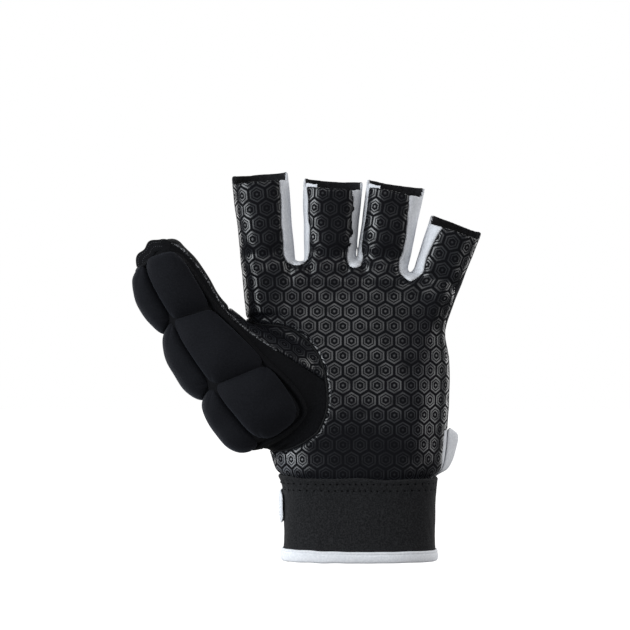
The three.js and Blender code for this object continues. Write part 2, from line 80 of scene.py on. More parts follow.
WEB_FOOT = 112
THUMB_FRAME = (-40, 77, -37)
THUMB = rows_of(
    ("s", "q", "y", "left", "right", "front", "back"),
    [
        (-21.5, -4.0, -6.0, 12.6, 21.0, 11.5, 10.0),
        (-14, -5.0, -6.0, 17.5, 28.0, 16.5, 12.0),
        (0, -5.0, -6.0, 18.2, 32.0, 19.0, 13.0),
        (14, -5.5, -7.0, 18.0, 26.0, 19.0, 13.0),
        (28, -6.0, -8.0, 16.6, 17.6, 17.0, 13.0),
        (44, -6.6, -9.0, 13.6, 13.9, 14.0, 12.5),
        (56, -5.0, -10.0, 12.6, 13.2, 13.0, 12.0),
        (66, -3.6, -10.5, 12.8, 12.5, 12.5, 12.0),
        (75, -2.2, -11.0, 12.4, 10.2, 12.0, 11.5),
    ],
)
THUMB_CAP = 7.2
CUFF = rows_of(
    ("s", "left", "right", "front", "back"),
    [
        (1.8, 34.5, 34.4, 23.0, 23.0),
        (10, 34.0, 34.0, 22.7, 22.7),
        (20, 34.0, 34.1, 22.7, 22.7),
        (28, 34.1, 34.3, 22.9, 22.9),
        (33, 34.8, 34.7, 23.5, 23.5),
        (37.2, 36.6, 35.2, 24.4, 24.4),
    ],
)


def smooth(t):
    t = np.clip(t, 0, 1)
    return t * t * (3 - 2 * t)


def column(rows, name, s):
    """A smooth curve through the rows' values, at each s."""
    xs = np.array([r["s"] for r in rows], float)
    ys = np.array([r.get(name, 0.0) for r in rows], float)
    slope = np.empty(len(xs))
    slope[1:-1] = (ys[2:] - ys[:-2]) / (xs[2:] - xs[:-2])
    slope[0] = (ys[1] - ys[0]) / (xs[1] - xs[0])
    slope[-1] = (ys[-1] - ys[-2]) / (xs[-1] - xs[-2])
    s = np.clip(s, xs[0], xs[-1])
    i = np.clip(np.searchsorted(xs, s) - 1, 0, len(xs) - 2)
    span = xs[i + 1] - xs[i]
    t = (s - xs[i]) / span
    a, b = slope[i] * span, slope[i + 1] * span
    rise = ys[i + 1] - ys[i]
    cubic = a + b - 2 * rise
    return ys[i] + t * (a + t * (rise - a - cubic + t * cubic))


def sizes_at(rows, s):
    """The half widths, depths and middle of a section at each s."""
    return (column(rows, k, s) for k in ("left", "right", "front", "back", "q", "y"))


def height_at(rows, q, s, side):
    """How far a section's front or back stands from its middle, at each q across it."""
    w = np.where(q > 0, column(rows, "right", s), column(rows, "left", s))
    return column(rows, side, s) * np.clip(1 - np.abs(q / w) ** EXPONENT, 0, 1) ** (1 / EXPONENT)


def place(frm, q, y, s):
    x, z, lean = frm
    c, n = math.cos(math.radians(lean)), math.sin(math.radians(lean))
    return np.stack([x + q * c + s * n, y + 0 * q, z - q * n + s * c], -1)


def in_thumb(points):
    """Front-view places of (q, s) points in the thumb's frame."""
    q, s = np.array(points, float).T
    return place(THUMB_FRAME, q, 0 * q, s)[:, [0, 2]]


def local(frm, x, z):
    c, n = math.cos(math.radians(frm[2])), math.sin(math.radians(frm[2]))
    return (x - frm[0]) * c - (z - frm[1]) * n, (x - frm[0]) * n + (z - frm[1]) * c


# Fields
class Grid:
    def __init__(self, low, high, cell=CELL):
        self.low = np.array(low, float)
        self.n = tuple(int(math.ceil((b - a) / cell)) + 1 for a, b in zip(low, high))
        self.cell = cell
        self.x, self.y, self.z = (
            (self.low[i] + cell * np.arange(self.n[i])).astype(np.float32) for i in range(3)
        )
        self.x3 = self.x[:, None, None]
        self.y3 = self.y[None, :, None]
        self.z3 = self.z[None, None, :]
        self.x2 = self.x[:, None]
        self.z2 = self.z[None, :]

    def flat(self, a):
        """A front-view field as one through the depth."""
        return a[:, None, :].astype(np.float32)


def section_field(grid, frm, rows, cap):
    """The distance to a body of superelliptic sections with a rounded top, first order near it."""
    q, s = local(frm, grid.x2, grid.z2)
    top = rows[-1]["s"]
    left, right, front, back, q0, y0 = sizes_at(rows, s)
    q = q - q0
    w = np.where(q > 0, right, left)
    n = EXPONENT
    u = np.abs(q) / w
    t = np.maximum(s - top, 0) / cap
    flat = grid.flat(u**n + t**n)
    slope2 = grid.flat((u ** (n - 1) / w) ** 2 + (t ** (n - 1) / cap) ** 2)
    dy = grid.y3 - grid.flat(y0)
    d = np.where(dy > 0, grid.flat(back), grid.flat(front))
    v = np.abs(dy) / d
    f = np.maximum((flat + v**n) ** np.float32(1 / n), 0.25)
    slope = f ** (1 - n) * np.sqrt(slope2 + (v ** (n - 1) / d) ** 2)
    return ((f - 1) / np.maximum(slope, 1e-4)).astype(np.float32)


def blend(a, b, k):
    h = np.maximum(k - np.abs(a - b), 0) / k
    return np.minimum(a, b) - h * h * (k / 4)


def ripple(seed, wave, count=9):
    """A smooth noise of about the given wavelength, from a few seeded waves."""
    rng = np.random.default_rng(seed)
    k = rng.normal(size=(count, 3))
    k *= (2 * math.pi / wave / np.linalg.norm(k, axis=1) * rng.uniform(0.7, 1.5, count))[:, None]
    phase = rng.uniform(0, 2 * math.pi, count)

    def at(x, y, z):
        total = 0.0
        for (a, b, c), p in zip(k, phase):
            total = total + np.sin(a * x + b * y + c * z + p)
        return total / math.sqrt(count)

    return at


def spline(points, step=0.6):
    """A dense smooth line through front-view points."""
    p = np.array(points, float)
    out = []
    for i in range(len(p) - 1):
        a, b, c, d = (p[min(max(i + k, 0), len(p) - 1)] for k in (-1, 0, 1, 2))
        bend, twist = 2 * a - 5 * b + 4 * c - d, 3 * b - a - 3 * c + d
        m = max(int(np.linalg.norm(c - b) / step), 2)
        for t in np.linspace(0, 1, m, endpoint=False):
            out.append(0.5 * (2 * b + (c - a) * t + bend * t**2 + twist * t**3))
    return np.array(out + [p[-1]])


def way_along(line):
    """The length along a dense line, at each of its points."""
    return np.concatenate([[0], np.cumsum(np.linalg.norm(np.diff(line, axis=0), axis=1))])


def evened(values, kernel):
    """A running mean."""
    return np.convolve(np.pad(values, len(kernel) // 2, mode="edge"), kernel / kernel.sum(), "valid")


def outline_distance(grid, outline):
    """Signed distance in front view to a closed outline, negative inside."""
    x, z = np.broadcast_arrays(grid.x2, grid.z2)
    best = np.full(x.shape, 1e9)
    inside = np.zeros(x.shape, bool)
    for (ax, az), (bx, bz) in zip(outline, np.roll(outline, -1, axis=0)):
        ex, ez = bx - ax, bz - az
        t = np.clip(((x - ax) * ex + (z - az) * ez) / max(ex * ex + ez * ez, 1e-9), 0, 1)
        best = np.minimum(best, (x - ax - t * ex) ** 2 + (z - az - t * ez) ** 2)
        if az != bz:
            cross = (az > z) != (bz > z)
            inside ^= cross & (x < ax + (z - az) / (bz - az) * ex)
    d = np.sqrt(best)
    return np.where(inside, -d, d)


# Meshes
CRUMB_SHARE = 0.04  # of the largest part's faces, below which a loose part is left out


def add_object(name, data):
    obj = bpy.data.objects.new(name, data)
    bpy.context.scene.collection.objects.link(obj)
    return obj


def add_mesh(name, verts, faces, material, uv=None):
    mesh = bpy.data.meshes.new(name)
    mesh.from_pydata([tuple(v) for v in np.asarray(verts) * MM], [], [tuple(f) for f in faces])
    mesh.validate()
    mesh.update()
    if uv is not None:
        layer = mesh.uv_layers.new(name="UVMap")
        index = np.empty(len(mesh.loops), np.int32)
        mesh.loops.foreach_get("vertex_index", index)
        layer.data.foreach_set("uv", np.asarray(uv, np.float32)[index].ravel())
    mesh.polygons.foreach_set("use_smooth", np.ones(len(mesh.polygons), bool))
    mesh.materials.append(material)
    return add_object(name, mesh)


def surface_of(field, grid):
    """The surface where a field is zero, as vertices in mm and quads, with stray crumbs left out."""
    band = 3 * grid.cell
    vgrid = vdb.FloatGrid(band)
    vgrid.copyFromArray(np.ascontiguousarray(np.clip(field, -band, band)))
    points, quads = vgrid.convertToQuads(isovalue=0.0)
    points = points * grid.cell + grid.low
    quads = quads[:, ::-1].astype(np.int64)
    group = np.arange(len(points))
    for _ in range(200):
        low = group[quads].min(axis=1)
        new = group.copy()
        for c in range(4):
            np.minimum.at(new, quads[:, c], low)
        new = new[new]
        if (new == group).all():
            break
        group = new
    names, sizes = np.unique(group[quads[:, 0]], return_counts=True)
    keep = np.isin(group[quads[:, 0]], names[sizes > CRUMB_SHARE * sizes.max()])
    quads = quads[keep]
    used, index = np.unique(quads, return_inverse=True)
    return points[used], index.reshape(quads.shape)


def neighbours(faces):
    edges = np.concatenate([faces[:, [i, (i + 1) % faces.shape[1]]] for i in range(faces.shape[1])])
    return np.concatenate([edges, edges[:, ::-1]])


RELAX_SHARE = 0.5  # of the way to the neighbours' middle; every other round goes back a little more


def relax(points, faces, rounds):
    """Evens out a surface without moving it far."""
    links = neighbours(faces)
    degree = np.bincount(links[:, 0], minlength=len(points))[:, None]
    for i in range(rounds):
        total = np.stack(
            [np.bincount(links[:, 0], points[links[:, 1], a], len(points)) for a in range(3)], 1
        )
        step = RELAX_SHARE if i % 2 == 0 else -RELAX_SHARE * 1.04
        points = points + step * (total / degree - points)
    return points


def ring_faces(rings, sides, closed=False):
    """The faces of a tube between rings of points, closed on itself or with its two ends capped."""
    ahead = [*range(1, rings), 0] if closed else range(1, rings)
    faces = [
        (i * sides + k, i * sides + (k + 1) % sides, j * sides + (k + 1) % sides, j * sides + k)
        for i, j in zip(range(rings), ahead)
        for k in range(sides)
    ]
    caps = [tuple(range(sides - 1, -1, -1)), tuple(range((rings - 1) * sides, rings * sides))]
    return faces if closed else faces + caps


def slab(name, across, along, point, material):
    """A closed slab over a grid: point(u, v, side) gives its outer face at side 1, its inner at 0."""
    u, v = np.meshgrid(np.linspace(0, 1, across + 1), np.linspace(0, 1, along + 1))
    layers = [point(u, v, side).reshape(-1, 3) for side in (0, 1)]
    n, m = across + 1, along + 1
    at = np.arange(n * m).reshape(m, n)
    a, b, c, d = at[:-1, :-1], at[:-1, 1:], at[1:, 1:], at[1:, :-1]
    inner = np.stack([a, d, c, b], -1).reshape(-1, 4)
    outer = np.stack([a, b, c, d], -1).reshape(-1, 4) + n * m
    rim = []
    ring = np.concatenate([at[0, :-1], at[:-1, -1], at[-1, :0:-1], at[:0:-1, 0]])
    for i, j in zip(ring, np.roll(ring, -1)):
        rim.append((i, j, j + n * m, i + n * m))
    uv = np.tile(np.stack([u.ravel(), v.ravel()], -1), (2, 1))
    return add_mesh(name, np.concatenate(layers), np.concatenate([inner, outer, rim]), material, uv)


def finish_piece(obj, nodes=()):
    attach(obj, "root")
    if nodes:
        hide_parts(*nodes)
    return obj


# Materials
def set_sockets(node, values):
    for key, value in values.items():
        node.inputs[key].default_value = value
    return node


def new_material(name, color, roughness, sheen=0.0, sheen_tint=(1, 1, 1, 1), specular=0.2):
    material = bpy.data.materials.new(name)
    material.use_nodes = True
    bsdf = material.node_tree.nodes["Principled BSDF"]
    look = {"Base Color": (*color, 1), "Roughness": roughness, "Specular IOR Level": specular}
    set_sockets(bsdf, {**look, "Sheen Weight": sheen, "Sheen Roughness": 0.4, "Sheen Tint": sheen_tint})
    return material, material.node_tree, bsdf


class Nodes:
    """Short forms for building a node tree."""

    def __init__(self, tree):
        self.tree = tree

    def add(self, kind, **values):
        node = self.tree.nodes.new(kind)
        for key, value in values.items():
            setattr(node, key, value)
        return node

    def link(self, a, b):
        self.tree.links.new(a, b)

    def math(self, op, a, b=None, c=None, clamp=False):
        node = self.add("ShaderNodeMath", operation=op, use_clamp=clamp)
        for socket, value in zip(node.inputs, (a, b, c)):
            if value is None:
                continue
            if isinstance(value, (int, float)):
                socket.default_value = value
            else:
                self.link(value, socket)
        return node.outputs[0]

    def coords(self, kind="Object", scale=(1, 1, 1)):
        source = self.add("ShaderNodeTexCoord").outputs[kind]
        mapping = self.add("ShaderNodeMapping")
        mapping.inputs["Scale"].default_value = scale
        self.link(source, mapping.inputs["Vector"])
        return mapping.outputs[0]

    def mm(self):
        return self.coords("Object", (1000, 1000, 1000))

    def noise(self, vector, scale, detail, roughness):
        node = self.add("ShaderNodeTexNoise")
        set_sockets(node, {"Scale": scale, "Detail": detail, "Roughness": roughness})
        self.link(vector, node.inputs["Vector"])
        return node.outputs["Fac"]

    def spot(self, x, z, wide, high):
        """1 at a front-view place in mm and 0 beyond an ellipse round it."""
        mapping = self.add("ShaderNodeMapping", vector_type="TEXTURE")
        set_sockets(mapping, {"Location": (x * MM, 0, z * MM), "Scale": (wide * MM, 1, high * MM)})
        self.link(self.add("ShaderNodeTexCoord").outputs["Object"], mapping.inputs["Vector"])
        length = self.add("ShaderNodeVectorMath", operation="LENGTH")
        self.link(mapping.outputs[0], length.inputs[0])
        return self.math("MULTIPLY_ADD", length.outputs["Value"], -2.0, 2.0, clamp=True)

    def ramp(self, value, low, high, color_low, color_high):
        node = self.add("ShaderNodeValToRGB")
        for end, position, color in zip(node.color_ramp.elements, (low, high), (color_low, color_high)):
            end.position, end.color = position, (*color, 1)
        self.link(value, node.inputs["Fac"])
        return node.outputs["Color"]

    def mix(self, factor, a, b):
        """Between two colours, each a tuple or another node's."""
        node = self.add("ShaderNodeMix", data_type="RGBA")
        self.link(factor, node.inputs["Factor"])
        for key, value in (("A", a), ("B", b)):
            if isinstance(value, tuple):
                node.inputs[key].default_value = (*value, 1)
            else:
                self.link(value, node.inputs[key])
        return node.outputs["Result"]

    def bump(self, height, distance, strength, bsdf):
        node = set_sockets(self.add("ShaderNodeBump"), {"Strength": strength, "Distance": distance})
        self.link(height, node.inputs["Height"])
        self.link(node.outputs["Normal"], bsdf.inputs["Normal"])


def knit_material(name, color, light, roughness, grain, sheen, bump=0.3, tint=(1, 1, 1, 1)):
    """A knit face: fine speckle in colour and height."""
    material, tree, bsdf = new_material(name, color, roughness, sheen, tint, 0.1)
    n = Nodes(tree)
    speck = n.noise(n.mm(), grain, 2.0, 0.6)
    n.link(n.ramp(speck, 0.38, 0.68, color, light), bsdf.inputs["Base Color"])
    n.bump(speck, 0.0003, bump, bsdf)
    return material


PRINT_BASE, PRINT_LINE = (0.0045, 0.0047, 0.0062), (0.012, 0.0138, 0.0182)
RINGS = ((2.85, 0.5), (1.75, 0.34))  # radius and half width, in mm
PITCH = 7.6  # of the print, across, in mm
WORN_AND_SHADED_SPOTS = (  # x, z, half width, half height, and how much of the print fades in the middle: partly worn off, partly painted shade where the fingers' right halves and the palm's low part turn from the light
    (2, 49, 34, 17, 0.62),
    (-9, 152, 9, 26, 0.6),
    (15, 150, 8, 26, 0.5),
    (-38, 152, 8, 26, 0.4),
    (24, 106, 24, 17, 0.3),
)
ROW = math.sqrt(3)
PAINTED_GLINT_SPOT = (-38, 44, 15, 10)  # a painted highlight: the print's lines are paler here, low beside the thumb, where the side light glints
PAINTED_GLINT_LINE_COLOR = (0.12, 0.126, 0.14)


def printed_material(name):
    """Synthetic leather with a glossy print of nested hexagons in staggered rows, on UVs in mm."""
    material, tree, bsdf = new_material(name, PRINT_BASE, 0.85, specular=0.08)
    set_sockets(bsdf, {"Coat Roughness": 0.28, "Coat IOR": 1.7})
    n = Nodes(tree)
    worn = n.noise(n.mm(), 0.16, 5.0, 0.65)
    split = n.add("ShaderNodeSeparateXYZ")
    n.link(n.coords("UV"), split.inputs[0])
    u, v = split.outputs[0], split.outputs[1]

    def cell(offset_u, offset_v):
        """The hexagon distance from the nearest cell centre of one of the two lattices."""
        a = n.math("WRAP", n.math("ADD", u, offset_u), PITCH / 2, -PITCH / 2)
        b = n.math("WRAP", n.math("ADD", v, offset_v), PITCH * ROW / 2, -PITCH * ROW / 2)
        a, b = n.math("ABSOLUTE", a), n.math("ABSOLUTE", b)
        slanted = n.math("ADD", n.math("MULTIPLY", a, 0.5), n.math("MULTIPLY", b, ROW / 2))
        return n.math("MAXIMUM", a, slanted)

    reach = n.math("MINIMUM", cell(0, 0), cell(PITCH / 2, PITCH * ROW / 2))

    def ring(radius, half):
        off = n.math("ABSOLUTE", n.math("SUBTRACT", reach, radius))
        return n.math("SUBTRACT", 1.0, n.math("DIVIDE", off, half), clamp=True)

    lines = ring(0.0, 0.7)
    for radius, half in RINGS:
        lines = n.math("MAXIMUM", lines, ring(radius, half))
    fade = n.math("MULTIPLY_ADD", worn, 2.6, -0.5, clamp=True)
    # the print fades in these spots: partly wear, partly painted shade
    for x, z, wide, high, loss in WORN_AND_SHADED_SPOTS:
        left = n.math("MULTIPLY_ADD", n.spot(x, z, wide, high), -loss, 1.0)
        fade = n.math("MULTIPLY", fade, left)
    mask = n.math("MULTIPLY", n.math("MULTIPLY", lines, 1.5, clamp=True), fade, clamp=True)
    # painted highlight: paler print lines in one spot low beside the thumb
    line = n.mix(n.spot(*PAINTED_GLINT_SPOT), PRINT_LINE, PAINTED_GLINT_LINE_COLOR)
    n.link(n.mix(mask, PRINT_BASE, line), bsdf.inputs["Base Color"])
    n.link(mask, bsdf.inputs["Coat Weight"])
    grain = n.noise(n.mm(), 2.2, 3.0, 0.6)
    height = n.math("ADD", n.math("MULTIPLY", mask, 0.5), n.math("MULTIPLY", grain, 0.7))
    n.bump(height, 0.00025, 0.5, bsdf)
    return material


PRINTED = printed_material("printed_leather")
BACK = knit_material("moulded_back", (0.009, 0.0095, 0.0115), (0.017, 0.018, 0.021), 0.85, 1.6, 0.06)
NEOPRENE = knit_material("neoprene", (0.0036, 0.0038, 0.0047), (0.0068, 0.0071, 0.0086), 0.85, 1.4, 0.03)
CUFF_FACE = knit_material("cuff_face", (0.0095, 0.0098, 0.0108), (0.025, 0.0255, 0.0275), 0.9, 1.5, 0.05, 0.4)
FOAM = knit_material(
    "foam_cover", (0.0056, 0.006, 0.008), (0.0098, 0.0104, 0.0132), 0.85, 1.8, 0.08, 0.14, (0.75, 0.82, 1, 1)
)
LINING = knit_material("lining", (0.01, 0.01, 0.011), (0.02, 0.02, 0.022), 0.95, 1.0, 0.0)
WHITE = knit_material("white_stretch", (0.62, 0.64, 0.68), (0.74, 0.755, 0.79), 0.85, 1.2, 0.0, 0.15)
TAPE = knit_material("white_binding", (0.74, 0.76, 0.8), (0.84, 0.855, 0.89), 0.8, 1.1, 0.0, 0.2)
STRAP = knit_material("white_strap", (0.68, 0.7, 0.74), (0.8, 0.815, 0.85), 0.8, 1.0, 0.0, 0.25)

# Body
WALL = 1.5
LIFT = 4.0  # of a stall's mouth, from its front to its back
FOLD_DEPTH = 1.45
STALL_FRONT, STALL_BACK = 11.6, 11.4
WEB_BLEND, PALM_BLEND, THUMB_BLEND = 1.5, 3.0, 2.0
ARCH_DENT, WEB_DENT, GUSSET_DENT = 0.75, 0.5, 0.35  # how far the seams pull in the cloth
DENT_HALF, WEB_DENT_HALF = 0.9, 0.8
GAP = 0.06  # between pieces that meet at a seam
FINGER_CAP, WEB_CAP, PALM_CAP = 4, 5, 6  # how far each form's rounded top goes past its last section
FINGER_FOOT, THUMB_FOOT = -8, -24  # where the forms end below, along their own axes
grid = Grid((-108, -32, 29.5), (62, 26, 181))


def finger_frame(f):
    return f["x"], f["z"], f["lean"]


def finger_rows(f):
    def sizes(half, less=0.0):
        deep = {"front": STALL_FRONT - less, "back": STALL_BACK - less}
        return {"left": half - less, "right": half - less, **deep}

    return [
        {"s": -10, **sizes(f["base"], 1.0)},
        {"s": 12, **sizes(f["base"])},
        {"s": f["top"] * 0.66, **sizes(f["middle"])},
        {"s": f["top"] + 1, **sizes(f["mouth"])},
        {"s": f["top"] + 12, **sizes(f["mouth"])},
    ]


def body_fields():
    """The glove's outer body with its mouths cut, and the same one uncut, for its hollow."""
    lift = LIFT * smooth((grid.y3 + 5) / 8)
    cut = whole = None
    for f in FINGERS:
        d = section_field(grid, finger_frame(f), finger_rows(f), FINGER_CAP)
        _, s = local(finger_frame(f), grid.x2, grid.z2)
        s3 = grid.flat(s)
        d = np.where(s3 < FINGER_FOOT, np.maximum(d, FINGER_FOOT - s3), d)
        # the fold at the finger's foot, across the front
        sway = 1.2 * np.sin(0.42 * grid.x3 + f["x"])
        fold = np.exp(-(((s3 - f["fold"] - sway) / 3.6) ** 2)) * smooth((-grid.y3 - 3) / 5)
        d = d + (FOLD_DEPTH * fold).astype(np.float32)
        mouth = np.maximum(d, s3 - f["top"] - lift)
        cut = mouth if cut is None else np.minimum(cut, mouth)
        whole = d if whole is None else np.minimum(whole, d)
    for w in WEBS:
        size = {"left": w["half"], "right": w["half"], "front": w["depth"], "back": w["depth"]}
        rows = [{"s": s, **size} for s in (WEB_FOOT, w["top"] - WEB_CAP)]
        d = np.maximum(section_field(grid, (w["x"], 0, 0), rows, WEB_CAP), WEB_FOOT - grid.z3)
        cut, whole = blend(cut, d, WEB_BLEND), blend(whole, d, WEB_BLEND)
    palm = section_field(grid, (0, 0, 0), PALM, PALM_CAP)
    cut, whole = blend(cut, palm, PALM_BLEND), blend(whole, palm, PALM_BLEND)
    _, s = local(THUMB_FRAME, grid.x2, grid.z2)
    thumb = section_field(grid, THUMB_FRAME, THUMB, THUMB_CAP)
    thumb = np.maximum(thumb, grid.flat(THUMB_FOOT - s))
    return blend(cut, thumb, THUMB_BLEND), blend(whole, thumb, THUMB_BLEND)


cut, whole = body_fields()


def drape(grd):
    """The gentle unevenness of worn cloth."""
    at = (grd.x3, grd.y3, grd.z3)
    return (0.22 * ripple(3, 30)(*at) + 0.07 * ripple(8, 9)(*at)).astype(np.float32)


ARCH = [  # the seam round the ball of the thumb, without its ends
    (-44.4, 106.0), (-35.1, 105.2), (-27.4, 102.0), (-19.3, 93.7), (-15.3, 82.5),
    (-14.7, 69.3), (-18.1, 59.5), (-22.4, 55.4), (-26.8, 52.6), (-32.2, 50.2),
]
THUMB_OUTLINE = np.concatenate(
    [
        spline([(-49.7, 107.6), *ARCH, (-40, 49.4)]),
        [(-60, 49.6), (-125, 38), (-125, 152), (-60, 152), (-55.5, 114.5)],
    ]
)
WEB_SEAM = spline(
    [(-42, 160), (-50, 125), (-58.9, 112.2), (-50.1, 103.4), (-38, 95.2), (-15.0, 80.4), (5, 66)]
)
GUSSETS = {
    "gusset_index_middle": (
        [(-35.4, 180), (-34.9, 157), (-33.9, 142), (-33.6, 136.4), (-31.8, 133.4), (-28.1, 132.3)],
        [(-28.1, 132.3), (-24.4, 133.6), (-23.2, 137.4), (-22.8, 145), (-23.4, 157), (-24.2, 180)],
    ),
    "gusset_middle_ring": (
        [(-2.4, 176), (-3.1, 157), (-3.8, 147), (-4.8, 139), (-5.2, 134.6), (-4.4, 132.0), (-2.2, 131.2)],
        [(-2.2, 131.2), (0.4, 132.2), (1.3, 135), (0.7, 139), (1.2, 147), (2.7, 157), (5.4, 176)],
    ),
    "gusset_ring_little": (
        [(23.4, 176), (21.9, 156), (21.0, 146), (19.8, 140), (18.0, 134), (18.6, 128.4), (22.8, 125.0)],
        [(22.8, 125.0), (27.6, 128.6), (29.2, 135), (31.4, 140), (34.7, 146), (39.2, 152), (58, 176)],
    ),
}
GUSSET_BACK_Y = 5
LOW_EDGE = 30.5  # where the palm and the back end, inside the cuff
WEB_PRINT_END = -2.0  # the depth where the web's print gives way to plain cloth


def gusset_outline(name, seed):
    """A gusset's two edges in front view as one line, with the small waves of a sewn edge."""
    sides = []
    for i, points in enumerate(GUSSETS[name]):
        line = spline(points)
        line[:, 0] += 0.14 * ripple(seed + i, 3.4, 5)(line[:, 0], line[:, 1], 0)
        sides.append(line[i:])
    return np.concatenate(sides)


gusset_2d = {
    name: outline_distance(grid, gusset_outline(name, 20 + 2 * i)) for i, name in enumerate(GUSSETS)
}
thumb_2d = outline_distance(grid, THUMB_OUTLINE)
printed_side = np.concatenate([WEB_SEAM, np.array([(60, 66), (60, 190), (-42, 190)])])
printed_2d = outline_distance(grid, printed_side)

# The seams pull in the cloth on both sides.
arch_dent = np.exp(-((thumb_2d / DENT_HALF) ** 2))
web_dent = np.exp(-((printed_2d / WEB_DENT_HALF) ** 2)) * smooth(-thumb_2d / 2)
dent = grid.flat(ARCH_DENT * arch_dent + WEB_DENT * web_dent) * smooth((-2 - grid.y3) / 4)


def surface_y(field, grd, x, z, behind=False):
    """The depth of a field's surface at each front-view point, on its palm side or its back."""
    i = np.clip(np.rint((x - grd.low[0]) / grd.cell).astype(int), 0, grd.n[0] - 1)
    k = np.clip(np.rint((z - grd.low[2]) / grd.cell).astype(int), 0, grd.n[2] - 1)
    step = -1 if behind else 1
    line, depth = field[i, :, k][:, ::step], grd.y[::step]
    j = np.maximum(np.argmax(line < 0, axis=1), 1)
    row = np.arange(len(j))
    before, after = line[row, j - 1], line[row, j]
    return depth[j - 1] + step * grd.cell * before / np.maximum(before - after, 1e-6)


SEAM_SPAN = 0.8  # how far apart the side wall's slope is measured, in mm
WALL_REACH = 3.0  # how far inside its seam a gusset's wall may lie, in front view


def past_seam(points, toward):
    """How far the cloth lies before a seam up a finger's side, measured along the cloth."""
    line = spline(points)
    line = line[np.argsort(line[:, 1])]
    x = np.interp(grid.z, line[:, 1], line[:, 0])
    near, far = (surface_y(whole, grid, x + toward * d, grid.z) for d in (0, SEAM_SPAN))
    kernel = np.hanning(15)
    near = evened(near, kernel)
    slope = evened(np.clip(far, near, near + 6) - near, kernel)
    length = np.hypot(SEAM_SPAN, slope)
    across, deep = toward * SEAM_SPAN / length, slope / length
    past = (grid.x2 - x[None, :]) * across[None, :] - (near * deep)[None, :]
    past = past[:, None, :] + grid.y3 * deep[None, None, :]
    past = past + 0.06 * ripple(7 + toward, 3.6, 5)(0, 0, grid.z3)
    limit = WALL_REACH + toward * (grid.x2 - x[None, :])
    return np.maximum(-past, -limit[:, None, :]).astype(np.float32)


def gusset_space(name):
    """The space that a gusset's cloth takes: a U in front view, cut square to the fingers' sides."""
    left, right = GUSSETS[name]
    flat_cut = grid.flat(gusset_2d[name])
    sides = np.maximum(past_seam(left, 1), past_seam(right, -1))
    share = smooth((grid.z3 - left[-1][1] - 1.5) / 5)
    mixed = flat_cut + share * (sides - flat_cut)
    return np.maximum(mixed, grid.y3 - GUSSET_BACK_Y).astype(np.float32)


gusset_region = {name: gusset_space(name) for name in GUSSETS}
for space in gusset_region.values():
    dent = dent + GUSSET_DENT * np.exp(-((space / DENT_HALF) ** 2)) * (grid.y3 < GUSSET_BACK_Y - 1)
shape = drape(grid) + dent.astype(np.float32)
outer = np.maximum(cut + shape, LOW_EDGE - grid.z3)
body = whole + shape
shell = np.maximum(outer, -(body + np.float32(WALL)))
# The side seam lies halfway round the hand, and comes forward beside the foot of the little finger.
SEAM_FORWARD = 5.6
forward = SEAM_FORWARD * smooth((grid.z3 - 100) / 10) * smooth((136 - grid.z3) / 10) * (grid.x3 > 0)
side_line = (0.25 * ripple(5, 12)(grid.x3, 0, grid.z3) - forward).astype(np.float32)
thumb_region = grid.flat(thumb_2d)
VENT_FRONT, VENT_BACK, VENT_TOP = -8.5, 6.0, 58.7
vent_front = VENT_FRONT + 3.8 * smooth((48 - grid.z3) / 10)
vent_region = np.maximum(np.maximum(vent_front - grid.y3, grid.y3 - VENT_BACK), 20 - grid.x3)
vent_region = np.maximum(vent_region, grid.z3 - VENT_TOP).astype(np.float32)

others = np.minimum(thumb_region, vent_region)
for r in gusset_region.values():
    others = np.minimum(others, r)
palm_field = np.maximum(np.maximum(shell, grid.y3 - side_line + GAP / 2), GAP - others)
back_field = np.maximum(np.maximum(shell, side_line - grid.y3 + GAP / 2), GAP - others)


TURN_SHARE = 0.62
WEB_PRINT_SCALE = 1.06


def turned(q, y, half, deep):
    """What a section's side adds to its front-view width as it turns away."""
    edge = smooth((np.abs(q) / half - 0.5) / 0.35)
    return np.sign(q) * TURN_SHARE * np.maximum(deep + y, 0) * edge


def surface_uv(points):
    """The print's coordinates in mm: up the palm, and along each finger past its foot."""
    x, y, z = points.T
    half = np.where(x > 0, column(PALM, "right", z), column(PALM, "left", z))
    u = x + turned(x, y, half, column(PALM, "front", z))
    shares, places = [], []
    for f in FINGERS:
        rows = finger_rows(f)
        q, s = local(finger_frame(f), x, z)
        half = column(rows, "left", s)
        shares.append(smooth((s - 1) / 18) * smooth((half + 6 - np.abs(q)) / 8))
        places.append((f["x"] + q + turned(q, y, half, column(rows, "front", s)), f["z"] + s))
    total = np.maximum(sum(shares), 1.0)
    rest = 1 - sum(shares) / total
    u = rest * u + sum(share / total * p[0] for share, p in zip(shares, places))
    v = rest * z + sum(share / total * p[1] for share, p in zip(shares, places))
    return np.stack([u, v], -1)


def thumb_uv(points):
    """The print's coordinates on the web of the thumb, along the thumb's own frame."""
    x, y, z = points.T
    q, s = local(THUMB_FRAME, x, z)
    q0, y0, right, front = (column(THUMB, k, s) for k in ("q", "y", "right", "front"))
    return WEB_PRINT_SCALE * np.stack([q + turned(q - q0, y - y0, right, front), s], -1)


SMOOTHING, GUARD_SMOOTHING = 6, 2  # rounds of evening out
LINING_FROM = 0.6  # of the wall's thickness: what lies deeper is lining


def field_piece(name, field, material, uv_of=None):
    """The cloth where a field is negative, with the lining on its inner side."""
    points, quads = surface_of(field, grid)
    points = relax(points, quads, SMOOTHING)
    piece = add_mesh(name, points, quads, material, uv_of(points) if uv_of else None)
    piece.data.materials.append(LINING)
    middle = points[quads].mean(axis=1)
    at = tuple(np.clip(np.rint((middle - grid.low) / CELL).astype(int).T, 0, np.array(grid.n)[:, None] - 1))
    inside = body[at] < -WALL * LINING_FROM
    piece.data.polygons.foreach_set("material_index", inside.astype(np.int32))
    return piece


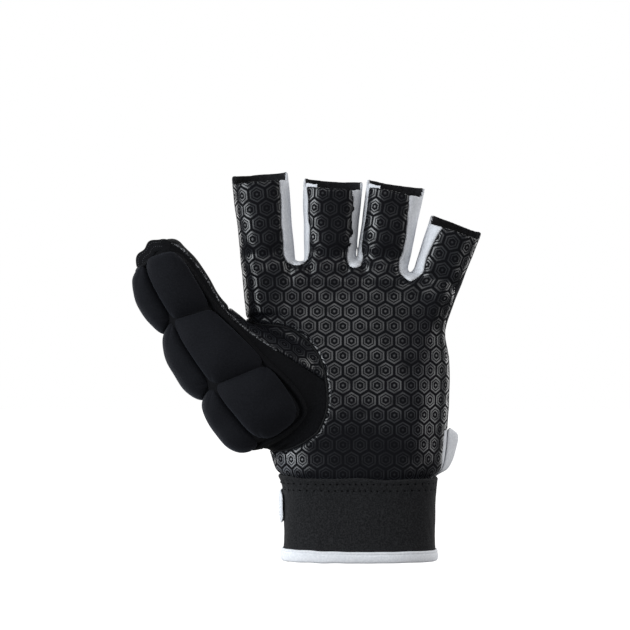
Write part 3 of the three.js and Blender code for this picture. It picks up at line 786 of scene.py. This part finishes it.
palm = finish_piece(field_piece("palm", palm_field, PRINTED, surface_uv), ["palm_panel"])
back = finish_piece(field_piece("back", back_field, BACK), ["back_panel"])
for name in GUSSETS:
    piece = field_piece(name + "_cloth", np.maximum(shell, gusset_region[name]), WHITE)
    finish_piece(piece, [name])
thumb_shell = np.maximum(shell, thumb_region)
printed_region = grid.flat(printed_2d)
stall = field_piece("thumb_stall", np.maximum(thumb_shell, GAP - printed_region), NEOPRENE)
finish_piece(stall, ["thumb_outer"])
web_panel = field_piece("thumb_web", np.maximum(thumb_shell, printed_region), PRINTED, thumb_uv)
web_panel.data.materials.append(NEOPRENE)
for face in web_panel.data.polygons:
    if face.material_index == 0 and face.center.y > WEB_PRINT_END * MM:
        face.material_index = 2
finish_piece(web_panel, ["thumb_inner"])
vent = field_piece("side_vent", np.maximum(shell, vent_region), WHITE)
finish_piece(vent, ["wrist_vent"])

# Thumb guard
GUARD_EDGE = [  # s and q along the thumb
    (79.5, -11), (78, -3), (74.5, 3), (68, 5.4), (45, 4.4), (31, 5.7), (16, 7.0), (-2, 9.7), (-12, 9.7),
    (-18, 7.3), (-20.6, 2.2), (-21, -6), (-20, -15),
]
GUARD_BACK_Y = 1.5
fine = Grid((-106, -34, 42), (-16, 4, 142), 0.5)
guard_base = section_field(fine, THUMB_FRAME, THUMB, THUMB_CAP)
guard_outline = np.concatenate([spline(GUARD_EDGE)[:, ::-1], [(-45, -14), (-45, 81)]])
guard_2d = outline_distance(fine, in_thumb(guard_outline))
CHANNEL_IN, CHANNEL_HALF, CHANNEL_DEPTH = 3.2, 0.85, 1.8  # the sewn channel inside the guard's edge
channel = CHANNEL_DEPTH * np.exp(-(((guard_2d + CHANNEL_IN) / CHANNEL_HALF) ** 2))
thickness = fine.flat(0.5 + 1.7 * smooth(-guard_2d / 1.4) - channel)
guard_field = np.maximum(guard_base - 0.2 - thickness, GAP - guard_base - drape(fine))
guard_field = np.maximum(guard_field, np.maximum(fine.flat(guard_2d), fine.y3 - GUARD_BACK_Y))
points, quads = surface_of(guard_field, fine)
guard = add_mesh("thumb_cover", relax(points, quads, GUARD_SMOOTHING), quads, NEOPRENE)
finish_piece(guard, ["thumb_guard"])


# Foam blocks
def section_point(frm, rows, s, degrees, out, cap=0.0):
    top = rows[-1]["s"]
    share = np.sqrt(np.clip(1 - (np.maximum(s - top, 0) / max(cap, 1e-3)) ** 2, 0.02, 1)) if cap else 1.0
    left, right, front, back, q0, y0 = sizes_at(rows, s)
    a, b = np.sin(np.radians(degrees)), -np.cos(np.radians(degrees))
    w = np.where(a > 0, right, left) * share + out
    d = np.where(b > 0, back, front) * share + out
    r = (np.abs(a / w) ** EXPONENT + np.abs(b / d) ** EXPONENT) ** (-1 / EXPONENT)
    return place(frm, q0 + a * r, y0 + b * r, s)


RIDGE = -38  # degrees round the thumb, where the two columns of blocks meet
BLOCK_COLUMNS = {"inner": (RIDGE, 29, 0.66), "outer": (-112, RIDGE, 0.5)}  # from, to, shoulder
BLOCKS = rows_of(
    ("node", "low", "high", "chevron", "height", "low_corner", "high_corner"),
    [
        ("inner_tip", 51, 80.5, -5.5, 6.8, 9.0, 4.2),
        ("outer_tip", 51, 80, -4, 6.8, 6.0, 6.0),
        ("inner_knuckle", 17, 51, -6.5, 6.9, 9.0, 9.0),
        ("outer_knuckle", 17, 51, -4, 7.0, 6.0, 8.0),
        ("inner_base", -18, 17, -6.5, 7.2, 4.0, 7.0),
        ("outer_base", -17, 17, -4, 7.0, 5.0, 8.0),
    ],
)
GROOVE = 0.12  # half the space between blocks
GROOVE_DEGREES = math.degrees(GROOVE / 13.2)
BLOCK_SEAT = 2.0  # the guard's thickness under the blocks
BLOCK_EDGE = 0.2  # a block's height where its cover is sewn down


PILLOW_FLAT = 2.4


def pillow(a, b, corner, shoulder):
    """Points of a square, moved onto one with rounded corners, and a pillow's height over them."""
    height = ((1 - np.abs(a) ** PILLOW_FLAT) * (1 - np.abs(b) ** PILLOW_FLAT)) ** shoulder
    reach = np.maximum(np.maximum(np.abs(a), np.abs(b)), 1e-6)
    out = (np.abs(a / reach) ** corner + np.abs(b / reach) ** corner) ** (1 / corner)
    a, b = (t / (1 + (out - 1) * reach**2) for t in (a, b))
    return a, b, height


START = 0.9  # a pad's height before it swells, as a share of its own
CLOTH_SCALE = 20.0  # cloth is simulated this much larger, at the size that its settings suit
PRESSURE, FRAMES = 3.0, 10
SEWN_RISE = 0.5  # how far above its lowest point a cover is still held down, in mm
BLOCK_SWELL, BACK_SWELL = 1.6, 1.2  # the most that a cover moves outwards, in mm


def swell(piece, cap):
    """Lets a pad's cover swell under its foam's pressure, by cap mm at most, held where it is sewn."""
    scene = bpy.context.scene
    mesh = piece.data.copy()
    rest = np.empty(len(mesh.vertices) * 3, np.float32)
    mesh.vertices.foreach_get("co", rest)
    rest = rest.reshape(-1, 3)
    half = len(rest) // 2
    outward = rest[half:] - rest[:half]
    lift = np.linalg.norm(outward, axis=1)
    outward /= np.maximum(lift, 1e-9)[:, None]
    sewn = np.concatenate([np.arange(half), half + np.flatnonzero(lift < lift.min() + SEWN_RISE * MM)])
    middle = rest.mean(axis=0)
    mesh.vertices.foreach_set("co", ((rest - middle) * CLOTH_SCALE).ravel())
    cover = add_object("swelling_cover", mesh)
    cover.vertex_groups.new(name="sewn").add([int(i) for i in sewn], 1.0, "REPLACE")
    cloth = cover.modifiers.new("cloth", "CLOTH")
    settings = cloth.settings
    settings.quality = 4
    settings.mass = 0.3
    settings.tension_stiffness = settings.compression_stiffness = 12
    settings.shear_stiffness = 6
    settings.bending_stiffness = 2
    settings.use_pressure = True
    settings.uniform_pressure_force = PRESSURE
    settings.vertex_group_mass = "sewn"
    settings.effector_weights.gravity = 0
    cloth.collision_settings.use_collision = False
    cloth.point_cache.frame_start = 1
    cloth.point_cache.frame_end = FRAMES
    for frame_number in range(1, FRAMES + 1):
        scene.frame_set(frame_number)
    cloth_form = cover.evaluated_get(bpy.context.evaluated_depsgraph_get())
    swollen = np.empty(len(rest) * 3, np.float32)
    cloth_form.to_mesh().vertices.foreach_get("co", swollen)
    cloth_form.to_mesh_clear()
    moved = swollen.reshape(-1, 3) / CLOTH_SCALE + middle - rest
    rise = np.clip((moved[half:] * outward).sum(axis=1), 0, cap * MM)
    rest[half:] += rise[:, None] * outward
    piece.data.vertices.foreach_set("co", rest.ravel())
    piece.data.update()
    bpy.data.objects.remove(cover)
    bpy.data.meshes.remove(mesh)
    scene.frame_set(1)
    return piece


def foam_block(row, seed):
    lumps = ripple(seed, 14)
    start, end, shoulder = BLOCK_COLUMNS[row["node"].split("_")[0]]

    def point(u, v, side):
        # the grid is finer towards the edges, where the foam turns down
        corner = row["low_corner"] + (row["high_corner"] - row["low_corner"]) * smooth(1.5 * v - 0.25)
        a, b, height = pillow(-np.cos(math.pi * u), -np.cos(math.pi * v), corner, shoulder)
        degrees = (start + end) / 2 + a * ((end - start) / 2 - GROOVE_DEGREES)
        off = np.abs(degrees - RIDGE) / 65
        low = row["low"] + GROOVE + (row["chevron"] * off if row["low"] > 0 else 0)
        high = row["high"] - GROOVE + row["chevron"] * off
        s = low + (b + 1) / 2 * (high - low)
        soft = 1 + 0.035 * lumps(20 * np.radians(degrees), s, 0 * s)
        rise = BLOCK_EDGE + START * row["height"] * height * soft if side else 0.0
        return section_point(THUMB_FRAME, THUMB, s, degrees, BLOCK_SEAT + rise, THUMB_CAP)

    return slab("block_" + row["node"], 56, 60, point, FOAM)


for i, row in enumerate(BLOCKS):
    block = swell(foam_block(row, 40 + i), BLOCK_SWELL)
    finish_piece(block, ["thumb_block_" + row["node"]])


# Back blocks
BACK_HEIGHT = 4.8
BACK_EDGE, BACK_SEAT = 0.6, 0.1  # how far a pad's cover and its underside stand off the back
BACK_CORNER, BACK_SHOULDER = 5.5, 0.6


def back_block(node, frm, rows, corners):
    """A pad of the back: corners(u, v) gives its places across and along."""

    def point(u, v, side):
        a, b = np.cos(math.pi * u), -np.cos(math.pi * v)
        a, b, height = pillow(a, b, BACK_CORNER, BACK_SHOULDER)
        q, s = corners((a + 1) / 2, (b + 1) / 2)
        rise = BACK_EDGE + START * BACK_HEIGHT * height if side else BACK_SEAT
        return place(frm, q, height_at(rows, q, s, "back") + rise, s)

    block = swell(slab(node + "_pad", 30, 34, point, BACK), BACK_SWELL)
    finish_piece(block, [node])


BACK_ON_FINGER = rows_of(("name", "low", "high"), [("low", 0.34, 0.63), ("high", 0.67, 0.95)])
BACK_FINGER_HALF = 9.2
BACK_COLUMNS = rows_of(
    ("name", "low", "high", "lean"),
    [
        ("index", -44, -26.6, -0.04),
        ("middle", -24.6, -4.4, 0.0),
        ("ring", -2.4, 17.4, 0.05),
        ("little", 19.4, 34.0, 0.09),
    ],
)
BACK_ROWS = rows_of(("name", "low", "high"), [("low", 66, 91), ("high", 94, 119)])


def part_way(row, t):
    return row["low"] + (row["high"] - row["low"]) * t


for f in FINGERS:
    for part in BACK_ON_FINGER:
        node = f"back_block_{f['name']}_{part['name']}"
        back_block(
            node,
            finger_frame(f),
            finger_rows(f),
            lambda u, v: (BACK_FINGER_HALF * (2 * u - 1), part_way(part, v) * f["top"]),
        )
for col in BACK_COLUMNS:
    for row in BACK_ROWS:

        def corners(u, v):
            s = part_way(row, v)
            return part_way(col, u) + col["lean"] * (s - BACK_ROWS[1]["low"]), s

        back_block(f"back_block_hand_{col['name']}_{row['name']}", (0, 0, 0), PALM, corners)


# Cuff
def tube(rows_at, profile, sides):
    """A closed ring's points and faces: profile is a list of (s, out) round its cross-section."""
    turn = np.linspace(0, 360, sides, endpoint=False)
    rings = [section_point((0, 0, 0), rows_at, np.full(sides, s), 180 - turn, out) for s, out in profile]
    return np.concatenate(rings), ring_faces(len(profile), sides, True)


CUFF_ROWS_Z = (35.1, 32.2)  # the two rows of stitches
CUFF_HOLES = 57  # in each row, about 3.2 mm apart
CUFF_SIDES = 400
CUFF_WALL = 2.7
HOLE_DEPTH, GROOVE_DEPTH = 0.55, 0.04  # of the stitches' holes, and of the row that they lie in


def cuff_piece():
    steps = np.concatenate([np.linspace(2.2, 30.2, 36), np.linspace(30.6, 36.6, 21)])
    outside = [(s, 0.0) for s in steps]
    top = [(37.1, -0.3), (37.4, -0.9), (37.4, -1.7), (37.1, -2.3)]
    inside = [(s, -CUFF_WALL) for s in steps[::-4]]
    verts, faces = tube(CUFF, outside + top + inside, CUFF_SIDES)
    x, y, z = verts.T
    turn = np.arctan2(y, x)
    out = np.stack([x, y, 0 * z], -1) / np.hypot(x, y)[:, None]
    skin = np.repeat(np.arange(len(outside + top + inside)) < len(outside), CUFF_SIDES)
    sink = 0.0
    for k, row_z in enumerate(CUFF_ROWS_Z):
        across = np.exp(-(((z - row_z) / 0.55) ** 2))
        along = np.cos(turn * CUFF_HOLES + 2.1 * k)
        sink = sink + across * (GROOVE_DEPTH + HOLE_DEPTH * np.clip(along, 0, 1) ** 4)
    puffs = 0.16 * ripple(61, 22)(x, y, z) + 0.05 * ripple(62, 6)(x, y, z)
    verts = verts + out * (puffs - sink * skin)[:, None]
    rise = smooth((z - 20) / 16)
    flare = 1.5 * smooth((-x - 24) / 10)
    verts[:, 2] += rise * (0.36 * np.sin(turn * 3 + 0.8) + 0.22 * np.sin(turn * 7) + flare)
    return add_mesh("cuff_knit", verts, faces, CUFF_FACE)


finish_piece(cuff_piece(), ["cuff"])


def binding_piece():
    outside = [(0.35, -0.6), (0.1, -0.1), (0.25, 0.45), (0.9, 0.85), (2.0, 1.0), (3.2, 1.0)]
    outside += [(3.6, 0.9), (3.85, 0.55), (4.1, 0.85), (4.5, 0.9), (4.95, 0.7), (5.2, 0.35), (5.15, 0.1)]
    inside = [(2.2, 0.08), (1.7, -0.4), (1.7, -2.4), (2.2, -2.95), (5.1, -3.0), (5.2, -3.3), (4.6, -3.65)]
    inside += [(1.2, -3.65), (0.3, -3.2), (0.0, -2.4), (0.05, -1.4)]
    verts, faces = tube(CUFF, outside + inside, 300)
    x, y, z = verts.T
    wave = ripple(71, 10)(x, y, 0 * z)
    verts[:, 2] += 0.08 * wave + 0.6 * smooth(-x / 35) * (z > 3)
    return add_mesh("cuff_tape", verts, faces, TAPE)


finish_piece(binding_piece(), ["cuff_binding"])

# Strap
STRAP_ROWS = rows_of(
    ("s", "low", "high", "low_out", "high_out"),
    [
        (-271, 17.0, 31.0, 0.3, 0.6),
        (-240, 17.6, 33.0, 0.6, 1.6),
        (-210, 18.6, 37.0, 0.7, 2.6),
        (-180, 22, 43.0, 1.0, 3.4),
        (-150, 26, 49.0, 1.8, 4.6),
        (-120, 32, 55.0, 2.4, 6.4),
        (-92, 38.9, 59.4, 2.2, 8.8),
    ],
)
WRIST = [{"s": s, "left": 34.4, "right": 34.4, "front": 23, "back": 23} for s in (0, 80)]


# How far the strap's end stands out from the palm's side, from its low edge to its high one.
TAB_END = rows_of(
    ("s", "out"), [(0, 0.9), (0.12, 2.1), (0.34, 3.2), (0.56, 3.8), (0.8, 4.3), (0.9, 3.7), (1.0, 1.0)]
)
STRAP_FROM, STRAP_TO = 84, 280  # degrees round the wrist from the palm's middle
STRAP_MM_A_DEGREE = 0.5
STRAP_THICK = 1.3
FAR_END_MM, NEAR_END_DEGREES = 4.0, 5.0  # over how much of its length each end is rounded
RIB_HEIGHT, RIB_TURNS = 0.1, 60


def strap_point(u, v, side):
    span = STRAP_TO - STRAP_FROM
    turn = STRAP_FROM + u * span
    deg = np.clip(-turn, -271, -92)
    low, high, low_out, high_out = (
        column(STRAP_ROWS, k, deg) for k in ("low", "high", "low_out", "high_out")
    )
    far_end = np.clip((1 - u) * span * STRAP_MM_A_DEGREE / FAR_END_MM, 0, 1)
    round_end = np.sqrt(np.clip(1 - (1 - far_end) ** 2, 0, 1))
    near_end = np.clip(u * span / NEAR_END_DEGREES, 0, 1)
    square = np.minimum(0.55 + 0.45 * round_end, 0.8 + 0.2 * np.sqrt(1 - (1 - near_end) ** 2))
    share = 0.5 + (v - 0.5) * square
    near = smooth((128 - turn) / 34)
    ribs = RIB_HEIGHT * np.sin(v * RIB_TURNS) * (side * 2 - 1) * (1 - near)
    edge = 1 - 0.6 * np.abs(2 * v - 1) ** 8
    thick = side * STRAP_THICK * edge * (0.3 + 0.7 * round_end) + ribs * (np.minimum(v, 1 - v) > 0.06)
    s = low + share * (high - low)
    rest = section_point((0, 0, 0), WRIST, s, turn, low_out + share * (high_out - low_out) + thick)
    # the end beside the palm stands out, and turns in to where it is sewn down
    bow = smooth((turn - STRAP_FROM) / 12) ** 0.7
    out = 0.45 + bow * (column(TAB_END, "out", share) - 0.45)
    tab = section_point((0, 0, 0), PALM, s, turn, out + thick * (0.5 + 0.5 * bow))
    return near[..., None] * tab + (1 - near[..., None]) * rest


strap = slab("wrist_strap_webbing", 150, 46, strap_point, STRAP)
finish_piece(strap, ["wrist_strap"])

# Stitches, rolled seams and small folds
def along_line(points, pitch):
    """Points every pitch along a front-view line, and the line's directions there."""
    line = spline(points, 0.3)
    way = way_along(line)
    at = np.arange(pitch / 2, way[-1], pitch)
    here = np.stack([np.interp(at, way, line[:, k]) for k in (0, 1)], -1)
    ahead = np.stack([np.interp(at + 0.2, way, line[:, k]) for k in (0, 1)], -1)
    step = ahead - here
    return here, step / np.maximum(np.linalg.norm(step, axis=1), 1e-6)[:, None]


# place along it, thickness, and how far it sinks in
BEAD = ((0, 0.45, 1), (0.15, 0.9, 0.4), (0.5, 1, 0), (0.85, 0.9, 0.4), (1, 0.45, 1))


def beads(name, starts, ends, radius, material, sink=0.25):
    """Short rounded threads between paired points, as one mesh."""
    ring = np.linspace(0, 2 * math.pi, 6, endpoint=False)
    bead_faces = ring_faces(len(BEAD), len(ring))
    verts, faces = [], []
    for a, b in zip(starts, ends):
        way = (b - a) / max(np.linalg.norm(b - a), 1e-6)
        side = np.cross(way, (0.0, 1.0, 0.0) if abs(way[1]) < 0.9 else (0.0, 0.0, 1.0))
        side /= max(np.linalg.norm(side), 1e-6)
        up = np.cross(side, way)
        base = len(verts)
        for t, size, drop in BEAD:
            centre = a + (b - a) * t + np.array([0, sink * drop, 0])
            verts.extend(centre + radius * size * (math.cos(r) * side + math.sin(r) * up) for r in ring)
        faces.extend(tuple(base + k for k in face) for face in bead_faces)
    return add_mesh(name, np.array(verts), faces, material)


def stitch_row(name, points, field, grd, material, pitch, length, radius):
    here, way = along_line(points, pitch)
    ends = []
    for sign in (-0.5, 0.5):
        p = here + sign * length * way
        ends.append(np.stack([p[:, 0], surface_y(field, grd, p[:, 0], p[:, 1]) - 0.06, p[:, 1]], -1))
    return finish_piece(beads(name, ends[0], ends[1], radius, material))


SEAM_RADIUS = 0.5


def rolled_seam(name, points, material, wave, behind=False):
    """A thin rolled edge that lies on the glove along a front-view line."""
    line = spline(points, 0.5)
    y = evened(surface_y(outer, grid, line[:, 0], line[:, 1], behind), np.ones(9))
    centre = np.stack([line[:, 0], y, line[:, 1]], -1)
    way = np.gradient(centre, axis=0)
    way /= np.linalg.norm(way, axis=1)[:, None]
    side = np.cross(way, (0.0, 1.0, 0.0))
    side /= np.linalg.norm(side, axis=1)[:, None]
    up = np.cross(side, way)
    size = SEAM_RADIUS * (1 + wave * ripple(91, 2.4, 5)(*centre.T))
    taper = np.minimum(1, np.minimum(np.arange(len(line)), np.arange(len(line))[::-1]) / 4 + 0.15)
    turns = np.linspace(0, 2 * math.pi, 10, endpoint=False)
    rings = [centre + (size * taper)[:, None] * (math.cos(t) * side + math.sin(t) * up) for t in turns]
    verts = np.stack(rings, 1).reshape(-1, 3)
    return finish_piece(add_mesh(name, verts, ring_faces(len(line), 10), material))


def speck_and_glint_material(name):
    """Black seam edge with pale specks: thread, and painted glints of the print along the seam."""
    material, tree, bsdf = new_material(name, (0.01, 0.01, 0.012), 0.7)
    n = Nodes(tree)
    speck = n.noise(n.mm(), 1.3, 3.0, 0.7)
    n.link(n.ramp(speck, 0.5, 0.64, (0.012, 0.0125, 0.015), (0.34, 0.35, 0.37)), bsdf.inputs["Base Color"])
    n.bump(speck, 0.0004, 0.6, bsdf)
    return material


SPECKS_AND_GLINTS = speck_and_glint_material("specked_edge_painted_glints")
THREAD = knit_material("black_thread", (0.008, 0.0085, 0.01), (0.022, 0.023, 0.026), 0.5, 3.0, 0.0)
# grey thread, paler than black, which partly paints the glints of the stitches
GREY_GLINT_THREAD = knit_material("grey_thread_painted_glint", (0.035, 0.036, 0.042), (0.1, 0.103, 0.112), 0.5, 3.0, 0.0)

THUMB_EDGE = np.concatenate(
    [
        in_thumb([(3.6, 79), (5.6, 76), (6.6, 72), (7.2, 65), (6.9, 56), (5.9, 48)]),
        [(-59.9, 112.4), (-55.6, 108.2), (-50.1, 103.4), (-44.4, 99.4), (-36.5, 94.2)],
    ]
)
# the seam's pale specks are partly painted glints of the print
rolled_seam("thumb_edge_seam", THUMB_EDGE, SPECKS_AND_GLINTS, 0.3)
ARCH_ROLL = [(-50.6, 108.4), (-49.2, 107.4), *ARCH, (-38, 49.5)]
SEAM_ROLL, _, _ = new_material("rolled_seam", (0.006, 0.0063, 0.0075), 0.7)
for side, behind in (("palm", False), ("back", True)):
    rolled_seam("arch_roll_" + side, ARCH_ROLL, SEAM_ROLL, 0.1, behind)
ARCH_STITCHES = [
    (-36.0, 106.8), (-27.0, 104.0), (-17.9, 94.6), (-13.7, 82.9), (-13.0, 69.0), (-16.7, 58.5), (-21.4, 54.2),
    (-26.2, 51.2),
]
stitch_row("arch_stitches", ARCH_STITCHES, outer, grid, GREY_GLINT_THREAD, 2.9, 1.5, 0.17)


CHANNEL = in_thumb([(2.4, 72), (2.6, 66), (1.4, 45), (2.8, 31), (4.0, 16), (6.6, -2), (6.4, -11), (4.6, -16)])
stitch_row("channel_stitches", CHANNEL, guard_field, fine, THREAD, 2.6, 1.6, 0.16)
TIP_ROW = in_thumb([(-10, 76.6), (-4, 76.2), (0.0, 74.6), (2.6, 71.5), (3.4, 66)])
stitch_row("tip_stitches", TIP_ROW, np.minimum(guard_base, guard_field), fine, THREAD, 2.4, 1.7, 0.22)


FRILL = [
    (-14.6, 75.6), (-14.7, 79.0), (-13.4, 81.6), (-10.3, 83.4), (-6.8, 83.9), (-3.4, 84.8), (-0.6, 84.2),
    (2.4, 81.9), (4.8, 78.8), (6.2, 75.6),
]
FRILL_HIGH = 6.0  # from its foot to its free edge, in mm


def tip_frill_points():
    """The seam allowance that stands up in soft lumps along the front of the thumb's tip."""
    path = spline(FRILL, 0.4)
    inward = np.array([-4.0, 70.0]) - path
    inward /= np.linalg.norm(inward, axis=1)[:, None]
    foot = path + FRILL_HIGH * inward
    foot_y = evened(surface_y(guard_base, fine, *in_thumb(foot).T), np.ones(13))
    way = way_along(path)

    def point(u, v, side):
        at = u * way[-1]
        q, s = (np.interp(at, way, path[:, k]) for k in (0, 1))
        dq, ds = (np.interp(at, way, inward[:, k]) for k in (0, 1))
        lumps = np.sin(at * 0.8 + 0.6)
        end = np.clip(np.minimum(u, 1 - u) * 8, 0, 1)
        down = FRILL_HIGH * (1 - v) * end + (1 - end) * (FRILL_HIGH - 0.6 * v) - 0.32 * lumps * v * end
        thick = 0.75 * np.sqrt(np.clip(1 - (2 * v - 1) ** 6, 0.05, 1)) * (0.4 + 0.6 * end)
        y = np.interp(at, way, foot_y) + 0.3 + 2.6 * v**1.6 + 0.35 * lumps * v - (side * 2 - 1) * thick
        return place(THUMB_FRAME, q + dq * down, y, s + ds * down)

    return point


frill_point = tip_frill_points()
finish_piece(slab("thumb_tip_frill", 110, 14, frill_point, NEOPRENE))
for k, height in enumerate((0.45, 0.78)):
    at = np.linspace(0.14, 0.7, 17)
    rows = [frill_point(at + shift, height + 0 * at, 1) for shift in (0.0, 0.018)]
    finish_piece(beads(f"frill_stitches_{k}", *rows, 0.17, GREY_GLINT_THREAD))


# near-black, hardly shiny thread: the thread in the needle holes and painted shade of the holes
HOLE_SHADE, _, _ = new_material("needle_hole_shade", (0.0015, 0.0015, 0.002), 0.95, specular=0.02)


def cuff_stitches():
    """Short near-black threads in the needle holes of the cuff's two rows, which paint the holes' shade too.
    """
    starts, ends = [], []
    for k, row_z in enumerate(CUFF_ROWS_Z):
        turn = 90 + np.arange(CUFF_HOLES) * 360 / CUFF_HOLES - math.degrees(2.1 * k / CUFF_HOLES)
        for side, out in ((-1, starts), (1, ends)):
            at = turn + side * 48 / CUFF_HOLES
            out.append(section_point((0, 0, 0), CUFF, row_z + 0 * at, at, 0 * at - 0.1))
    return beads("cuff_stitches", np.concatenate(starts), np.concatenate(ends), 0.25, HOLE_SHADE, 0.0)


finish_piece(cuff_stitches())


def fold_tab(name, f, low, high):
    """A gusset's end, folded over and peeping out above the front of a stall."""
    rows = finger_rows(f)

    def point(u, v, side):
        q = low + (high - low) * u
        y = -height_at(rows, q, f["top"], "front")
        s = f["top"] - 2.0 + 3.7 * v + 0.25 * np.sin(5 * u + 1)
        return place(finger_frame(f), q, y + 1.75 - 0.55 * side + 0.3 * v, s)

    return finish_piece(slab(name, 16, 8, point, WHITE), ())


fold_tab("fold_tab_middle", FINGERS[1], -12.4, -7.2)
fold_tab("fold_tab_ring", FINGERS[2], -12.3, -6.9)

# Stage
camera_data = bpy.data.cameras.new("camera")
camera = add_object("camera", camera_data)
VIEW_MM = 283.5  # the width of the view at the glove
DISTANCE = 1500.0
VIEW_X, VIEW_Z = -20.0, 110.25  # the middle of the view
camera.location = (VIEW_X * MM, -DISTANCE * MM, VIEW_Z * MM)
camera.rotation_euler = (math.pi / 2, 0, 0)
camera_data.sensor_width = 36
camera_data.lens = 36 * DISTANCE / VIEW_MM
camera_data.clip_end = 20
bpy.context.scene.camera = camera


FLOOR_Z = -160.0
FLOOR_HALF = 8000.0


def floor():
    """A pale floor that only the camera sees, so that it puts no light on the glove."""
    material, _, bsdf = new_material("floor", (0.9, 0.9, 0.9), 0.9)
    set_sockets(bsdf, {"Emission Color": (1, 1, 1, 1), "Emission Strength": 1.0})
    mesh = bpy.data.meshes.new("floor")
    half = FLOOR_HALF * MM
    corners = [(-half, -half), (half, -half), (half, half), (-half, half)]
    mesh.from_pydata([(x, y, FLOOR_Z * MM) for x, y in corners], [], [(0, 1, 2, 3)])
    mesh.materials.append(material)
    obj = add_object("floor", mesh)
    obj.visible_diffuse = False
    obj.visible_glossy = False


floor()


LIT_PLACE = Vector((-0.02, 0, 0.1))  # what every light faces


def area_light(name, location, size, power, color=(1, 1, 1)):
    data = bpy.data.lights.new(name, "AREA")
    data.shape = "RECTANGLE"
    data.size, data.size_y = size
    data.energy = power
    data.color = color
    light = add_object(name, data)
    light.location = location
    light.rotation_euler = (LIT_PLACE - Vector(location)).to_track_quat("-Z", "Y").to_euler()


def surroundings(dim):
    """A white studio to look at, which gives the glove only a dim light all round."""
    world = bpy.data.worlds.new("world")
    world.use_nodes = True
    n = Nodes(world.node_tree)
    soft = world.node_tree.nodes["Background"]
    white = n.add("ShaderNodeBackground")
    for node, strength in ((soft, dim), (white, 1.0)):
        set_sockets(node, {"Color": (1, 1, 1, 1), "Strength": strength})
    mix = n.add("ShaderNodeMixShader")
    n.link(n.add("ShaderNodeLightPath").outputs["Is Camera Ray"], mix.inputs[0])
    n.link(soft.outputs[0], mix.inputs[1])
    n.link(white.outputs[0], mix.inputs[2])
    n.link(mix.outputs[0], world.node_tree.nodes["World Output"].inputs["Surface"])
    bpy.context.scene.world = world


LIGHTS = rows_of(
    ("name", "location", "size", "power"),
    [
        ("right_box", (1.3, -0.5, 0.3), (0.9, 1.3), 9),
        ("top_box", (0.0, -1.3, 0.66), (1.2, 0.5), 3),
        ("left_rim", (-1.2, 1.1, 0.3), (0.9, 1.3), 12),
        ("right_rim", (1.2, 1.1, 0.3), (0.9, 1.3), 12),
        ("back_box", (0.2, 1.3, 0.9), (1.3, 0.9), 5),
    ],
)
SOFT_LIGHT = 0.16  # of the surroundings
area_light("left_box", (-1.3, -0.7, 0.3), (1.2, 1.4), 30, (0.93, 0.97, 1))
for row in LIGHTS:
    area_light(**row)
surroundings(SOFT_LIGHT)
bpy.context.scene.view_settings.view_transform = "Standard"
